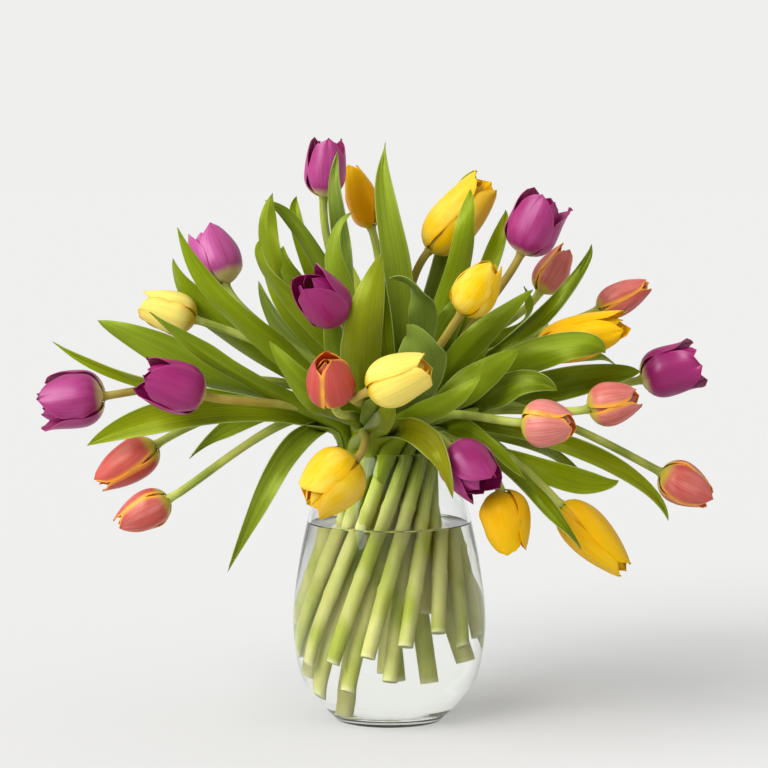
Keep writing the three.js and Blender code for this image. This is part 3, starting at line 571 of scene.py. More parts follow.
class Tree:
    """The nodes of a material or a world, with short calls that add one and join it to others."""

    def __init__(self, owner, kind="Material"):
        owner.use_nodes = True
        self.owner = owner
        self.nodes = owner.node_tree.nodes
        self.links = owner.node_tree.links
        self.nodes.clear()
        self.output = self.nodes.new(f"ShaderNodeOutput{kind}")

    def put(self, socket, value):
        if isinstance(value, bpy.types.NodeSocket):
            self.links.new(value, socket)
        else:
            socket.default_value = value

    def add(self, kind, sockets=None, **settings):
        node = self.nodes.new(kind)
        for name, value in settings.items():
            setattr(node, name, value)
        for name, value in (sockets or {}).items():
            self.put(node.inputs[name], value)
        return node

    def attribute(self, name, output="Fac"):
        return self.add("ShaderNodeAttribute", attribute_name=name).outputs[output]

    def grain(self):
        """The grain as a vector, and its three parts."""
        vector = self.attribute("grain", "Vector")
        return vector, *self.add("ShaderNodeSeparateXYZ", {0: vector}).outputs

    def spot(self):
        """The point's place in the bouquet, and its distance from the middle of the painted shade."""
        vector = self.add("ShaderNodeTexCoord").outputs["Object"]
        away = self.add("ShaderNodeVectorMath", {0: vector, 1: PAINTED_SHADE_MIDDLE}, operation="DISTANCE")
        return vector, away.outputs["Value"]

    def math(self, operation, first, second=0.0):
        return self.add("ShaderNodeMath", {0: first, 1: second}, operation=operation).outputs[0]

    def stretched_noise(self, vector, scales, detail=2.0):
        """Noise that is drawn out along the directions with a small scale, from 0 to 1."""
        stretched = self.add("ShaderNodeVectorMath", {0: vector, 1: scales}, operation="MULTIPLY")
        sockets = {"Vector": stretched.outputs[0], "Scale": 1.0, "Detail": detail}
        return self.add("ShaderNodeTexNoise", sockets).outputs["Fac"]

    def band(self, value, low, high):
        """0 below `low`, 1 above `high`, and smooth between them."""
        sockets = {"Value": value, "From Min": low, "From Max": high}
        return self.add("ShaderNodeMapRange", sockets, interpolation_type="SMOOTHSTEP").outputs["Result"]

    def between(self, share, low, high):
        """`low` where the share is 0, and `high` where it is 1."""
        sockets = {"Value": share, "To Min": low, "To Max": high}
        return self.add("ShaderNodeMapRange", sockets).outputs["Result"]

    def mix(self, factor, first, second):
        node = self.add("ShaderNodeMix", data_type="RGBA")
        self.put(node.inputs[0], factor)
        for socket, tint in ((node.inputs[6], first), (node.inputs[7], second)):
            self.put(socket, tint if isinstance(tint, bpy.types.NodeSocket) else (*tint, 1))
        return node.outputs[2]

    def paint(self, under, over, share, value, low, high):
        """A colour, with this share of another one over it where the value is past `high`."""
        return self.mix(self.math("MULTIPLY", self.band(value, low, high), share), under, over)

    def bump(self, height, strength, distance):
        sockets = {"Height": height, "Strength": strength, "Distance": distance}
        return self.add("ShaderNodeBump", sockets).outputs["Normal"]

    def surface(self, sockets):
        """Ends the material with its one shader."""
        return self.finish(self.add("ShaderNodeBsdfPrincipled", sockets))

    def finish(self, shader):
        self.links.new(shader.outputs[0], self.output.inputs["Surface"])
        return self.owner


def material_tree(name):
    return Tree(bpy.data.materials.new(name))


# ---------------------------------------------------------------- vase and water

# (radius, height) along the hollow under the foot, and over the rounded lip.
FOOT = ((0, 0.0014), (0.028, 0.0013), (0.035, 0.0004), (0.0375, 0))
LIP = ((0.0471, 0.2033), (0.0465, 0.2038), (0.0459, 0.204), (0.0452, 0.2038), (0.0447, 0.2033))
LIP_FROM = 0.2032  # height at which the wall ends and the lip starts
# (in from the glass, up from the inner floor) along its round corner, and (in from the glass, up from
# the water's level) where the water climbs.
FLOOR_CORNER = ((0.0095, 0.0004), (0.005, 0.0019), (0.0018, 0.0046))
CORNER_HEIGHT = 0.007
MENISCUS = ((0.0002, 0.0014), (0.0009, 0.0006), (0.0022, 0.0001), (0.005, 0))
MENISCUS_HEIGHT = 0.0016
SUNK_BELOW = 0.01  # under this height the water reaches down into the glass too


def smooth_outline():
    """(radius, height) points along a smooth curve through those of the vase's outline."""
    steps = 12
    points = [Vector((radius, 0, height)) for radius, height in OUTLINE]
    ends = [points[0], *points, points[-1]]
    curve = []
    for before, start, end, after in zip(ends, ends[1:], ends[2:], ends[3:]):
        handles = start + (end - before) / 6, end - (after - start) / 6
        curve += interpolate_bezier(start, *handles, end, steps + 1)[:-1]
    return [(point.x, point.z) for point in (*curve, points[-1]) if point.z < LIP_FROM]


def inner_wall(settings):
    """The glass's inner outline, from the floor's middle to under the lip."""
    corner_top = settings.floor + CORNER_HEIGHT
    wall = [(radius - settings.wall, height) for radius, height in smooth_outline() if height > corner_top]
    edge = wall[0][0]
    middle = [(0, settings.floor), (0.6 * edge, settings.floor)]
    return middle + [(edge - inward, settings.floor + up) for inward, up in FLOOR_CORNER] + wall


def clear_material(name, tint, ior, shadow):
    """A clear material. Light from the lamps goes straight through it, and is dimmed to `shadow` once:
    where it would leave it, seen from the lit point, and not where it would enter."""
    tree = material_tree(name)
    clear = tree.add(
        "ShaderNodeBsdfPrincipled",
        {
            "Base Color": (*tint, 1),
            "Roughness": 0.0,
            "IOR": ior,
            "Specular Tint": (0.35, 0.35, 0.35, 1),
            "Transmission Weight": 1.0,
        },
    )
    from_inside = tree.add("ShaderNodeNewGeometry").outputs["Backfacing"]
    passing = tree.add("ShaderNodeBsdfTransparent", {0: tree.mix(from_inside, (1, 1, 1), (shadow,) * 3)})
    to_lamp = tree.add("ShaderNodeLightPath").outputs["Is Shadow Ray"]
    sockets = {0: to_lamp, 1: clear.outputs[0], 2: passing.outputs[0]}
    return tree.finish(tree.add("ShaderNodeMixShader", sockets))


class TULIPS_OT_vase(bpy.types.Operator):
    """Turns the clear glass vase, with its thick foot and rounded lip"""

    bl_idname = "tulips.vase"
    bl_label = "Make Vase"

    def execute(self, context):
        settings = context.scene.tulip_vase
        profile = [*FOOT, *smooth_outline(), *LIP, *reversed(inner_wall(settings))]
        glass = clear_material("clear_glass", settings.glass, ior=1.47, shadow=0.94)
        piece("glass_vase", spun(profile), glass, ["vase"], sharpest=0.6)
        return {"FINISHED"}


class TULIPS_OT_water(bpy.types.Operator):
    """Fills the vase with water, which climbs a little where it meets the glass"""

    bl_idname = "tulips.water"
    bl_label = "Fill Vase"

    overlap: length("Overlap", 0.0003, "How far the water reaches into the glass")

    def execute(self, context):
        settings = context.scene.tulip_vase
        level = settings.water_level
        inside = inner_wall(settings)
        below = [point for point in inside if point[1] < level]
        radius, height = below[-1]
        next_radius, next_height = inside[len(below)]
        edge = radius + (next_radius - radius) * (level - height) / (next_height - height)
        wall = [
            (radius + self.overlap if radius else 0, height - self.overlap * (height < SUNK_BELOW))
            for radius, height in below
        ]
        brim = [(edge + self.overlap, level + MENISCUS_HEIGHT)]
        top = [(edge - inward, level + up) for inward, up in MENISCUS] + [(0, level)]
        water = clear_material("clear_water", settings.water, ior=1.333, shadow=0.42)
        piece("vase_water", spun(wall + brim + top), water, ["water"])
        return {"FINISHED"}


# ---------------------------------------------------------------- stems

STEM_TAPER = 1.6  # it is down to its upper radius at 1 / STEM_TAPER of the way to the bloom
KNOT_SWELLING = 0.13
KNOT_REACH = 0.02  # as a share of the straight run, to either side of a knot
# How the stem swells into the seat of the petals: distance past its head, and radius.
SEAT = ((-0.0015, 0.0032), (0.0002, 0.0037), (0.002, 0.0038), (0.004, 0.003), (0.0052, 0.0012))


def stem_material(settings):
    tree = material_tree("stem_skin")
    grain, _, _, along = tree.grain()
    spot, away = tree.spot()
    height = tree.add("ShaderNodeSeparateXYZ", {0: spot}).outputs[2]
    fibre = tree.stretched_noise(grain, (9, 9, 14), 3)
    patch = tree.stretched_noise(spot, (34, 34, 16))
    in_air = tree.band(height, 0.13, 0.19)
    # Painted light: paler where a stem stands out of the bouquet's leaves, as if more lit there.
    dry = tree.paint(settings.dry, settings.outer, 0.75, away, 0.06, 0.13)
    patches = tree.mix(in_air, settings.green, darker(settings.dry, 0.6))
    skin = tree.paint(tree.mix(in_air, settings.wet, dry), patches, 0.85, patch, 0.42, 0.66)
    skin = tree.paint(skin, lighter(settings.wet, 0.08), 0.35, fibre, 0.45, 0.7)
    skin = tree.mix(tree.math("MULTIPLY", tree.attribute("side"), 0.6), skin, settings.blush)
    skin = tree.paint(skin, lighter(settings.wet, 0.15), 1, along, 0.004, 0)
    return tree.surface(
        {
            "Base Color": skin,
            "Roughness": 0.5,
            "Specular IOR Level": 0.1,
            "Specular Tint": (0.9, 1.0, 0.5, 1),
            "Subsurface Weight": 0.6,
            "Subsurface Radius": (0.8, 1.0, 0.3),
            "Subsurface Scale": 0.005,
            "Normal": tree.bump(fibre, 0.35, 0.0004),
        }
    )


class TULIPS_OT_stems(bpy.types.Operator):
    """Grows the round stems from their cut ends in the water into the blooms"""

    bl_idname = "tulips.stems"
    bl_label = "Make Stems"

    sides: faces("Sides", 16, "Faces round a stem")

    def execute(self, context):
        settings = context.scene.tulip_stems
        skin = stem_material(settings)
        rng = random.Random(11)
        for name in TULIPS:
            path = StemPath(name)
            run = path.curve[0] - path.foot
            knots = [rng.uniform(0.2, 0.45), rng.uniform(0.6, 0.8)]
            shares = [knot + step for knot in knots for step in (-0.03, -0.01, 0, 0.01, 0.03)]
            shares = sorted([0, 0.15, 0.5, 0.9, *shares])
            points = [path.foot + run * share for share in shares]
            gaps = [min(abs(share - knot) for knot in knots) for share in shares]
            knobs = [1 + KNOT_SWELLING * max(0, 1 - gap / KNOT_REACH) for gap in gaps]
            radii = [settings.foot_radius * knob for knob in knobs]
            for i in range(0, CURVE_STEPS - 1, 2):
                points.append(path.curve[i])
                share = min(1, STEM_TAPER * i / CURVE_STEPS)
                radii.append(settings.sheath_radius + (settings.top_radius - settings.sheath_radius) * share)
            for past, radius in SEAT:
                points.append(path.head + path.axis * past)
                radii.append(radius)
            bm = new_bmesh()
            sweep(bm, points, radii, self.sides)
            side = bm.verts.layers.float["side"]
            reach = (path.head - path.curve[0]).length
            for vert in bm.verts:
                near = 1 - (vert.co - path.head).length / reach
                vert[side] = smooth_step(0.25, 0.8, near) if name in BLUSHED_STEMS else 0
            piece(f"round_stem_{name}", bm, skin, [f"stem_{name}"])
        return {"FINISHED"}


# ---------------------------------------------------------------- leaves

SHEATH_SHARE = 0.2  # of a leaf's rows, which wrap the stem below the leaf
SHEATH_LENGTH = 0.056
WRAP = 2.2  # radians to either side of the rib that a leaf base wraps round its stem
UNROLL = 0.24  # share of the blade over which the wrapped base opens flat
SHOULDER = 0.12  # how far before its broadest part a leaf starts to narrow
LEAF_TAPER = 2.2
SNUG_WIDTH = 0.014  # wider leaves wrap their stem loosely
LOOSENESS = 0.2  # share of the width beyond that by which they stand off
UPWARD = 0.04  # how far up the hollow faces look


def leaf_width(leaf, t):
    """Share of the full width at share t of a leaf: a broad middle and a long point."""
    shoulder = leaf.broadest - SHOULDER
    narrowing = max(0, (t - shoulder) / (1 - shoulder)) ** LEAF_TAPER
    return swell(t, leaf.broadest) * (1 - narrowing) ** leaf.point


class Blade:
    """The shape of one leaf: a row of sections, each with its own middle, directions and bend."""

    def __init__(self, leaf, path, settings, stem_radius, rows, rng):
        summit = max(point.z for point in path.curve)
        first = next(i for i, point in enumerate(path.curve) if point.z >= min(leaf.root, summit) - 1e-9)
        root = path.curve[first]
        via, tip = place(leaf.via), place(leaf.tip)
        control = 2 * via - 0.5 * root - 0.5 * tip
        plane = (control - root).cross(tip - control).normalized()
        middle = (tip - root).normalized()
        flat = middle.cross(Vector((0, 1, 0))).normalized()
        start = atan2(flat.dot(plane.cross(middle)), flat.dot(plane))
        inward = Vector((-via.x, -via.y, UPWARD))
        offset = stem_radius + settings.thickness + LOOSENESS * max(0, leaf.width - SNUG_WIDTH)
        stem_along = (path.curve[first] - path.below(first, 0.004)).normalized()

        def frame_at(t):
            along = ((control - root) * (1 - t) + (tip - control) * t).normalized()
            angle = start + radians(leaf.turn + leaf.twist * (t - 0.5))
            side = (plane * cos(angle) + plane.cross(along) * sin(angle)).normalized()
            return along, side, side.cross(along).normalized()

        # The hollow face looks to the stem and up, and the base wraps the stem on that side.
        normal = frame_at(0.12)[2]
        self.hollow = 1 if normal.dot(inward) >= 0 else -1
        to_stem = normal * self.hollow
        to_stem = (to_stem - stem_along * to_stem.dot(stem_along)).normalized()
        root_side = stem_along.cross(to_stem) * self.hollow

        # Each blade waves, bows and curls in its own way.
        phase, beat = rng.uniform(0, 6.3), rng.uniform(1.3, 2.1)
        wave = settings.wave * rng.uniform(0.6, 1.7)
        bow = (tip - root).length * rng.uniform(-0.018, 0.018)
        curl = rng.uniform(-0.004, 0.006)
        self.ripple = rng.uniform(17, 27)
        self.uneven = rng.uniform(-0.1, 0.1)
        self.sections = []
        for i in range(rows + 1):
            s = i / rows
            t = max(0, (s - SHEATH_SHARE) / (1 - SHEATH_SHARE))
            opened = smooth_step(0, UNROLL, t)
            if s < SHEATH_SHARE:
                centre = path.below(first, SHEATH_LENGTH * (1 - s / SHEATH_SHARE))
                side, normal = root_side, root_side.cross(stem_along)
                narrow = 0.35 + 0.65 * s / SHEATH_SHARE  # a slanting edge below
            else:
                along, side, normal = frame_at(t)
                side = root_side.lerp(side, smooth_step(0, 0.16, t))
                side = (side - along * side.dot(along)).normalized()
                normal = side.cross(along).normalized()
                centre = root * (1 - t) ** 2 + control * 2 * t * (1 - t) + tip * t * t
                centre = centre + side * (bow * sin(2 * pi * t))
                centre = centre + normal * (curl * smooth_step(0.65, 1, t))
                narrow = 1
            bend = (WRAP + (0.85 - 0.5 * t - WRAP) * opened) * narrow
            flat_half = leaf.width / 2 * leaf_width(leaf, t) * (1.12 - 0.1 * t)
            half = (WRAP * offset + (flat_half - WRAP * offset) * opened) * narrow
            toward = normal * self.hollow
            tilt = wave * sin(2 * pi * beat * t + phase) * min(1, 3 * t) * half / leaf.width
            self.sections.append((centre - toward * offset * (1 - opened), side, toward, half, bend, tilt))

    def shape(self, u, s):
        centre, side, toward, half, bend, tilt = self.sections[round(s * (len(self.sections) - 1))]
        radius = half / bend
        edge = u * u * (1 + self.uneven * u)
        ripple = 0.45 * tilt * sin(self.ripple * s + 3 * u) * edge
        crease = 0.0004 * exp(-((u / 0.09) ** 2))
        reach = bend * u * (1 + self.uneven * u * sin(9 * s))
        across = radius * sin(reach)
        rise = radius * (1 - cos(reach)) + ripple - crease - 2 * tilt * u * self.hollow
        return centre + side * across + toward * rise


def leaf_material(settings):
    tree = material_tree("leaf_blade")
    grain, across, along, tone = tree.grain()
    tint = tree.attribute("tint")
    _, away = tree.spot()
    veins = tree.stretched_noise(grain, (26, 0.8, 37))
    broad = tree.stretched_noise(grain, (2.2, 2.6, 53))
    edge = tree.math("ABSOLUTE", across)
    blade = tree.mix(tone, settings.deep, settings.fresh)
    blade = tree.paint(blade, settings.fresh, 0.5, broad, 0.35, 0.7)
    blade = tree.paint(blade, settings.olive, 0.85, tint, 0, 1)
    blade = tree.paint(blade, settings.dull, 0.7, tint, 0, -1)
    blade = tree.paint(blade, darker(settings.deep, 0.75), 0.5, veins, 0.45, 0.75)
    blade = tree.paint(blade, settings.pale, 0.3, veins, 0.5, 0.25)
    blade = tree.mix(tree.math("MULTIPLY", tree.attribute("side"), 0.4), blade, settings.under)
    blade = tree.paint(blade, settings.pale, 0.6, along, 0.4, 0.08)
    blade = tree.paint(blade, lighter(settings.pale, 0.15), 0.6, edge, 0.93, 0.99)
    blade = tree.paint(blade, settings.withered, 0.55, along, 0.97, 1)
    # Painted shade: deeper green near the bouquet's middle, as if the crowded leaves shaded each other there.
    blade = tree.paint(blade, darker(settings.deep, 0.55), 0.35, away, 0.13, 0.04)
    return tree.surface(
        {
            "Base Color": blade,
            "Roughness": 0.33,
            "Specular IOR Level": 0.45,
            "Specular Tint": (0.85, 1.0, 0.2, 1),
            "Subsurface Weight": 0.35,
            "Subsurface Radius": (0.5, 1.0, 0.2),
            "Subsurface Scale": 0.0015,
            "Normal": tree.bump(veins, 0.4, 0.0004),
        }
    )


class TULIPS_OT_leaves(bpy.types.Operator):
    """Grows the strap-shaped leaves, each with a base that wraps its stem"""

    bl_idname = "tulips.leaves"
    bl_label = "Make Leaves"

    across: faces("Across", 10, "Faces across a leaf")
    rows: faces("Rows", 32, "Faces along a leaf")

    def execute(self, context):
        settings = context.scene.tulip_leaves
        radius = context.scene.tulip_stems.sheath_radius
        blade = leaf_material(settings)
        rng = random.Random(5)
        for name, leaves in LEAVES.items():
            bm = new_bmesh()
            for leaf in leaves:
                form = Blade(leaf, StemPath(name), settings, radius, self.rows, rng)
                outside = 0 if form.hollow > 0 else 1
                tone, tint = rng.uniform(0, 1), rng.uniform(-0.5, 0.5)
                tint = tint if leaf.tint is None else leaf.tint
                sheet(bm, self.across, self.rows, form.shape, tone, settings.thickness, outside, tint)
            piece(f"leaves_{name}", bm, blade, [f"stem_{name}"])
        return {"FINISHED"}


# ---------------------------------------------------------------- blooms

BELLY = 0.45  # share of a petal's length at which the cup is widest
CLOSED_MOUTH = 0.3  # radius at the mouth of a bud, against the belly
OPENING = 0.75  # how much wider the mouth of an open bloom is
PETAL_WIDTH = 1.1  # half of it, against the bloom's radius
PETAL_BROADEST = 0.5  # share of its length at which a petal is broadest
NARROW_CUP = 0.62  # where the cup is narrower than this, against its radius, petals keep their angle
WELL_OPEN = 0.4  # blooms past this curl their tips out, and show their hearts


class Layer(NamedTuple):
    """What the three outer or the three inner petals of a bloom have in common."""

    size: float  # distance from the axis, against the bloom's radius
    widest: float  # half of the angle that a petal spans at most, in radians
    tuck: float  # how far the lower edges bend in, against the bloom's radius
    overlap: float  # how far one edge lies over the next petal, likewise
    foot: tuple  # distance from the axis and height of the petal's foot
    opening: tuple  # least and most that they open beyond the bloom's own value
    length: tuple  # least and most of their length, against the bloom's


OUTER = Layer(1, 1.13, -0.035, 0.022, (0.0028, 0.0006), (-0.05, 0.08), (0.96, 1.03))
INNER = Layer(0.87, 0.85, -0.03, 0, (0.0018, 0.0024), (-0.42, -0.34), (0.91, 0.97))


class Petal(NamedTuple):
    """How one petal of a bloom stands. Angles are in radians."""

    layer: Layer
    middle: float  # where it stands round the bloom
    open: float
    length: float
    curl: float  # how far its tip bends out, against the bloom's radius
    lean: float  # how far the whole petal hangs out


class Sort(NamedTuple):
    """One sort of tulip: the outline of its petals, their colours, and where on them those lie."""

    fullness: float  # of the outline above its broadest part
    point: float  # the less, the blunter the tip
    deep: tuple
    light: tuple
    seam: tuple
    inside: tuple
    base: tuple
    gloss: tuple  # tint of its sheen
    specular: float  # strength of its sheen
    seam_from: float  # share of the half width at which the seam's colour starts
    base_to: float  # share of the length at which the base's colour ends
    stripe: float  # strength of the fine dark lines


SORTS = {
    "purple": Sort(
        fullness=2.1,
        point=0.8,
        deep=srgb(136, 6, 84),
        light=srgb(186, 84, 148),
        seam=srgb(172, 66, 130),
        inside=srgb(130, 12, 80),
        base=srgb(214, 196, 120),
        gloss=(1, 0.75, 0.95),
        specular=0.55,
        seam_from=1.0,
        base_to=0.14,
        stripe=0.42,
    ),
    "yellow": Sort(
        fullness=2.7,
        point=0.64,
        deep=srgb(234, 148, 0),
        light=srgb(244, 226, 124),
        seam=srgb(236, 168, 2),
        inside=srgb(246, 186, 8),
        base=srgb(206, 176, 30),
        gloss=(1, 0.9, 0.3),
        specular=0.2,
        seam_from=0.95,
        base_to=0.12,
        stripe=0.2,
    ),
    "orange": Sort(
        fullness=2.3,
        point=0.7,
        deep=srgb(182, 48, 36),
        light=srgb(224, 152, 142),
        seam=srgb(234, 162, 56),
        inside=srgb(232, 124, 46),
        base=srgb(190, 168, 60),
        gloss=(1, 0.85, 0.6),
        specular=0.35,
        seam_from=0.84,
        base_to=0.2,
        stripe=0.45,
    ),
}


def cup_radius(s, openness):
    """Distance from the bloom's axis, as a share of its radius, at share s of a petal."""
    if s < BELLY:
        return (1 - (1 - s / BELLY) ** 2) ** 0.6
    mouth = CLOSED_MOUTH + OPENING * openness
    return 1 - (1 - mouth) * ((s - BELLY) / (1 - BELLY)) ** 2


def petal_width(s, sort):
    narrowing = max(0, (s - PETAL_BROADEST) / (1 - PETAL_BROADEST)) ** sort.fullness
    return PETAL_WIDTH * swell(s, PETAL_BROADEST) * (1 - narrowing) ** sort.point


def petal_shape(tulip, petal, sort, jitter):
    """The function that puts a point of the petal in place, in the bloom's own frame."""
    layer = petal.layer
    foot_radius, foot_height = layer.foot
    hinge = Matrix.Rotation(petal.lean, 4, Vector((0, 0, 1)).cross(on_ring(1, petal.middle, 0)))

    def shape(u, s):
        radius = tulip.radius * layer.size
        reach = max(foot_radius, radius * cup_radius(s, petal.open))
        half = petal_width(s, sort) * radius / max(reach, NARROW_CUP * tulip.radius)
        angle = petal.middle + u * min(layer.widest, half)
        tip = smooth_step(0.6, 1, s)
        reach += radius * petal.curl * tip * tip
        # A shallow groove along the middle, and edges that tuck in below and roll out above.
        reach -= 0.0007 * exp(-((u / 0.16) ** 2)) * smooth_step(0.1, 0.5, s)
        reach += radius * (u * u * (layer.tuck * (1 - tip) + petal.curl * tip) + layer.overlap * u)
        reach += 0.0005 * sin(5 * pi * s + jitter) * u ** 3
        rise = foot_height + (petal.length - foot_height) * s ** 1.2
        rise -= 0.0012 * sin(3 * u + jitter) * tip * u * u
        return hinge @ on_ring(reach, angle, rise)

    return shape


def petal_material(name, outer, sort):
    """A satin petal: fine lines along it, its own colours at the seams and base, and another inside."""
    tree = material_tree(name)
    grain, across, along, _ = tree.grain()
    tint = tree.attribute("tint")
    lines = tree.stretched_noise(grain, (17, 1.1, 41), 3)
    cloud = tree.stretched_noise(grain, (2, 2.4, 29))
    edge = tree.math("ADD", tree.math("ABSOLUTE", across), tree.math("MULTIPLY", lines, 0.24))
    deepened = tree.math("SUBTRACT", 1, tree.math("MULTIPLY", tree.band(along, 0.45, 0.95), 0.7))
    paler = tree.math("MULTIPLY", tree.band(tint, 0.5, 0), 0.38)
    foot = tree.math("ADD", along, tree.math("MULTIPLY", lines, -0.12))
    foot = tree.math("ADD", foot, tree.math("MULTIPLY", tree.band(tint, 0, -1), -0.12))
    # The tint deepens or pales the whole bloom; for some blooms this is painted shade or a painted sheen.
    body = tree.paint(outer, sort.deep, deepened, tint, 0, 1)
    body = tree.paint(body, sort.light, 1, tint, 0, -1)
    body = tree.paint(body, sort.light, paler, cloud, 0.3, 0.7)
    body = tree.paint(body, darker(sort.deep, 0.8), sort.stripe, lines, 0.35, 0.7)
    body = tree.paint(body, sort.seam, 1, edge, sort.seam_from, sort.seam_from + 0.25)
    body = tree.mix(tree.math("MULTIPLY", tree.attribute("side"), 0.85), body, sort.inside)
    body = tree.paint(body, sort.base, 1, foot, sort.base_to, sort.base_to - 0.16)
    return tree.surface(
        {
            "Base Color": body,
            "Roughness": 0.38,
            "Specular IOR Level": sort.specular,
            "Specular Tint": (*sort.gloss, 1),
            "Subsurface Weight": 0.35,
            "Subsurface Radius": (1.0, 0.5, 0.3),
            "Subsurface Scale": 0.002,
            "Normal": tree.bump(lines, 0.3, 0.0004),
        }
    )


class TULIPS_OT_blooms(bpy.types.Operator):
    """Opens the blooms, each of three outer and three inner petals"""

    bl_idname = "tulips.blooms"
    bl_label = "Make Blooms"

    across: faces("Across", 14, "Faces across a petal")
    along: faces("Along", 18, "Faces along a petal")

    def execute(self, context):
        settings = context.scene.tulip_blooms
        finishes = {
            flower: petal_material(f"{flower}_petal", getattr(settings, flower), sort)
            for flower, sort in SORTS.items()
        }
        rng = random.Random(23)
        for name, tulip in TULIPS.items():
            flower = name.split("_")[0]
            path = StemPath(name)
            reach = (place(tulip.tip) - path.head).length
            bm = new_bmesh()
            for k in range(6):
                layer = INNER if k % 2 else OUTER
                petal = Petal(
                    layer,
                    radians(60 * k + tulip.turn + rng.uniform(-4, 4)),
                    tulip.open + rng.uniform(*layer.opening),
                    reach * rng.uniform(*layer.length),
                    rng.uniform(-0.06, 0.08) * (0.3 + tulip.open) + 0.12 * max(0, tulip.open - WELL_OPEN),
                    LOOSE_PETALS.get(name, {}).get(k, 0),
                )
                shape = petal_shape(tulip, petal, SORTS[flower], rng.uniform(0, 6))
                tone = rng.uniform(0, 1)
                sheet(bm, self.across, self.along, shape, tone, settings.thickness, 0, TINTS_AND_PAINTED_LIGHT.get(name, 0))
            path.carry(bm)
            piece(f"petals_{name}", bm, finishes[flower], [f"bloom_{name}"])
        return {"FINISHED"}


# (distance from the bloom's axis, height, radius) along the parts of a bloom's heart.
PISTIL = (
    (0, 0.003, 0.0018),
    (0, 0.008, 0.0024),
    (0, 0.015, 0.0019),
    (0, 0.0165, 0.0026),
    (0, 0.0185, 0.003),
    (0, 0.0195, 0.0012),
)
FILAMENT = ((0.002, 0.003, 0.0005), (0.0035, 0.008, 0.0005), (0.0042, 0.0115, 0.0003))
ANTHER = ((0.0041, 0.0105, 0.0004), (0.0045, 0.0125, 0.0011), (0.0048, 0.016, 0.001), (0.005, 0.0185, 0.0003))


def heart_material():
    tree = material_tree("pistil_and_stamens")
    grit = tree.stretched_noise(tree.attribute("grain", "Vector"), (60, 60, 60))
    green = tree.mix(grit, srgb(168, 180, 92), srgb(200, 204, 130))
    dark = tree.mix(grit, srgb(38, 22, 44), srgb(86, 66, 40))
    skin = tree.mix(tree.attribute("side"), green, dark)
    return tree.surface({"Base Color": skin, "Roughness": 0.7, "Normal": tree.bump(grit, 0.5, 0.0003)})


def rod(bm, rows, angle, sides):
    """Adds one part of a bloom's heart, and gives its vertices."""
    before = set(bm.verts)
    points = [on_ring(reach, angle, height) for reach, height, _ in rows]
    sweep(bm, points, [radius for _, _, radius in rows], sides)
    return [vert for vert in bm.verts if vert not in before]


class TULIPS_OT_hearts(bpy.types.Operator):
    """Puts the pistil and six stamens in the blooms that are open"""

    bl_idname = "tulips.hearts"
    bl_label = "Make Pistils and Stamens"

    def execute(self, context):
        finish = heart_material()
        for name, tulip in TULIPS.items():
            if tulip.open < WELL_OPEN:
                continue
            bm = new_bmesh()
            side = bm.verts.layers.float["side"]
            rod(bm, PISTIL, 0, 9)
            for k in range(6):
                angle = pi * k / 3
                rod(bm, FILAMENT, angle, 6)
                for vert in rod(bm, ANTHER, angle, 8):
                    vert[side] = 1
            StemPath(name).carry(bm)
            piece(f"heart_{name}", bm, finish, [])
        return {"FINISHED"}


# ---------------------------------------------------------------- stage

# The wide lamp at the front left, as two lights: each one's name, its share of the light, the way
# that it shines, from straight to the right round to the back, and how steeply it comes down.
KEY_LIGHTS = (
    ("low_key_light", 0.68, radians(50), radians(31)),
    ("high_key_light", 0.32, radians(15), radians(46)),
)
FLOOR_SIZE = 60


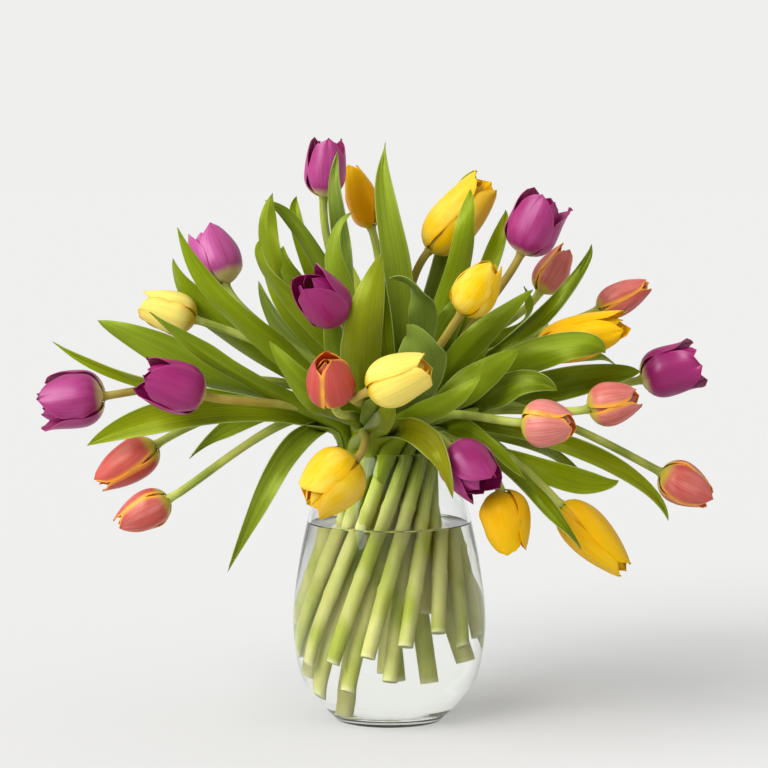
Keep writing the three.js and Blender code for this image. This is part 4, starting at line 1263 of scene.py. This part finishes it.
class TULIPS_OT_stage(bpy.types.Operator):
    """Sets the pale backdrop, the soft lights and the camera"""

    bl_idname = "tulips.stage"
    bl_label = "Set Stage"

    def execute(self, context):
        settings = context.scene.tulip_stage
        scene = context.scene
        bm = bmesh.new()
        bmesh.ops.create_grid(bm, x_segments=1, y_segments=1, size=FLOOR_SIZE)
        mesh = bpy.data.meshes.new("paper_floor")
        bm.to_mesh(mesh)
        bm.free()
        floor = bpy.data.objects.new("paper_floor", mesh)
        tree = material_tree("pale_paper")
        paper = tree.add("ShaderNodeBsdfDiffuse", {"Color": (*settings.floor, 1)})
        glow = tree.add("ShaderNodeEmission", {"Color": (1, 1, 0.985, 1), "Strength": settings.glow})
        both = tree.add("ShaderNodeAddShader", {0: paper.outputs[0], 1: glow.outputs[0]})
        mesh.materials.append(tree.finish(both))
        scene.collection.objects.link(floor)

        for name, share, around, steep in KEY_LIGHTS:
            key = bpy.data.lights.new(name, "SUN")
            key.energy = settings.sun * share
            key.angle = settings.softness
            key_object = bpy.data.objects.new(name, key)
            towards = on_ring(cos(steep), around, -sin(steep))
            key_object.location = -2 * towards
            key_object.rotation_euler = towards.to_track_quat("-Z", "Y").to_euler()
            key_object.visible_transmission = False
            scene.collection.objects.link(key_object)

        # The backdrop keeps its full brightness where it is seen, also through the glass, and is
        # dimmer where it lights things and where glass and water mirror it.
        sky = Tree(bpy.data.worlds.new("white_surroundings"), "World")
        rays = sky.add("ShaderNodeLightPath").outputs
        seen = sky.math("MAXIMUM", rays["Is Camera Ray"], rays["Is Transmission Ray"])
        mirrored = sky.math("MULTIPLY", rays["Is Singular Ray"], rays["Is Reflection Ray"])
        lighting = sky.between(seen, settings.fill, 1)
        strength = sky.math("MULTIPLY", lighting, sky.between(mirrored, 1, settings.mirror))
        backdrop = {"Color": (*settings.backdrop, 1), "Strength": strength}
        scene.world = sky.finish(sky.add("ShaderNodeBackground", backdrop))

        camera = bpy.data.cameras.new("front_camera")
        camera.lens = settings.lens
        camera.sensor_width = 36
        camera_object = bpy.data.objects.new("front_camera", camera)
        camera_object.location = EYE
        camera_object.rotation_euler = (AIM - EYE).to_track_quat("-Z", "Y").to_euler()
        scene.collection.objects.link(camera_object)
        scene.camera = camera_object
        scene.view_settings.view_transform = "Standard"
        return {"FINISHED"}


# ---------------------------------------------------------------- add-on

SETTINGS = {
    "tulip_vase": VaseSettings,
    "tulip_stems": StemSettings,
    "tulip_leaves": LeafSettings,
    "tulip_blooms": BloomSettings,
    "tulip_stage": StageSettings,
}
OPERATORS = (
    TULIPS_OT_vase,
    TULIPS_OT_water,
    TULIPS_OT_stems,
    TULIPS_OT_leaves,
    TULIPS_OT_blooms,
    TULIPS_OT_hearts,
    TULIPS_OT_stage,
)


class TULIPS_PT_panel(bpy.types.Panel):
    """Lists the settings and the steps in their order"""

    bl_idname = "TULIPS_PT_panel"
    bl_label = "Tulips in a Vase"
    bl_space_type = "VIEW_3D"
    bl_region_type = "UI"
    bl_category = "Tulips"

    def draw(self, context):
        for name, group in SETTINGS.items():
            box = self.layout.box()
            for prop in group.__annotations__:
                box.prop(getattr(context.scene, name), prop)
        for operator in OPERATORS:
            self.layout.operator(operator.bl_idname)


CLASSES = (*SETTINGS.values(), *OPERATORS, TULIPS_PT_panel)


def register():
    for cls in CLASSES:
        bpy.utils.register_class(cls)
    for name, group in SETTINGS.items():
        setattr(bpy.types.Scene, name, bpy.props.PointerProperty(type=group))


def unregister():
    for name in SETTINGS:
        delattr(bpy.types.Scene, name)
    for cls in reversed(CLASSES):
        bpy.utils.unregister_class(cls)


def main():
    register()
    bpy.ops.tulips.vase()
    bpy.ops.tulips.water()
    bpy.ops.tulips.stems()
    bpy.ops.tulips.leaves()
    bpy.ops.tulips.blooms()
    bpy.ops.tulips.hearts()
    bpy.ops.tulips.stage()


if __name__ == "__main__":
    main()
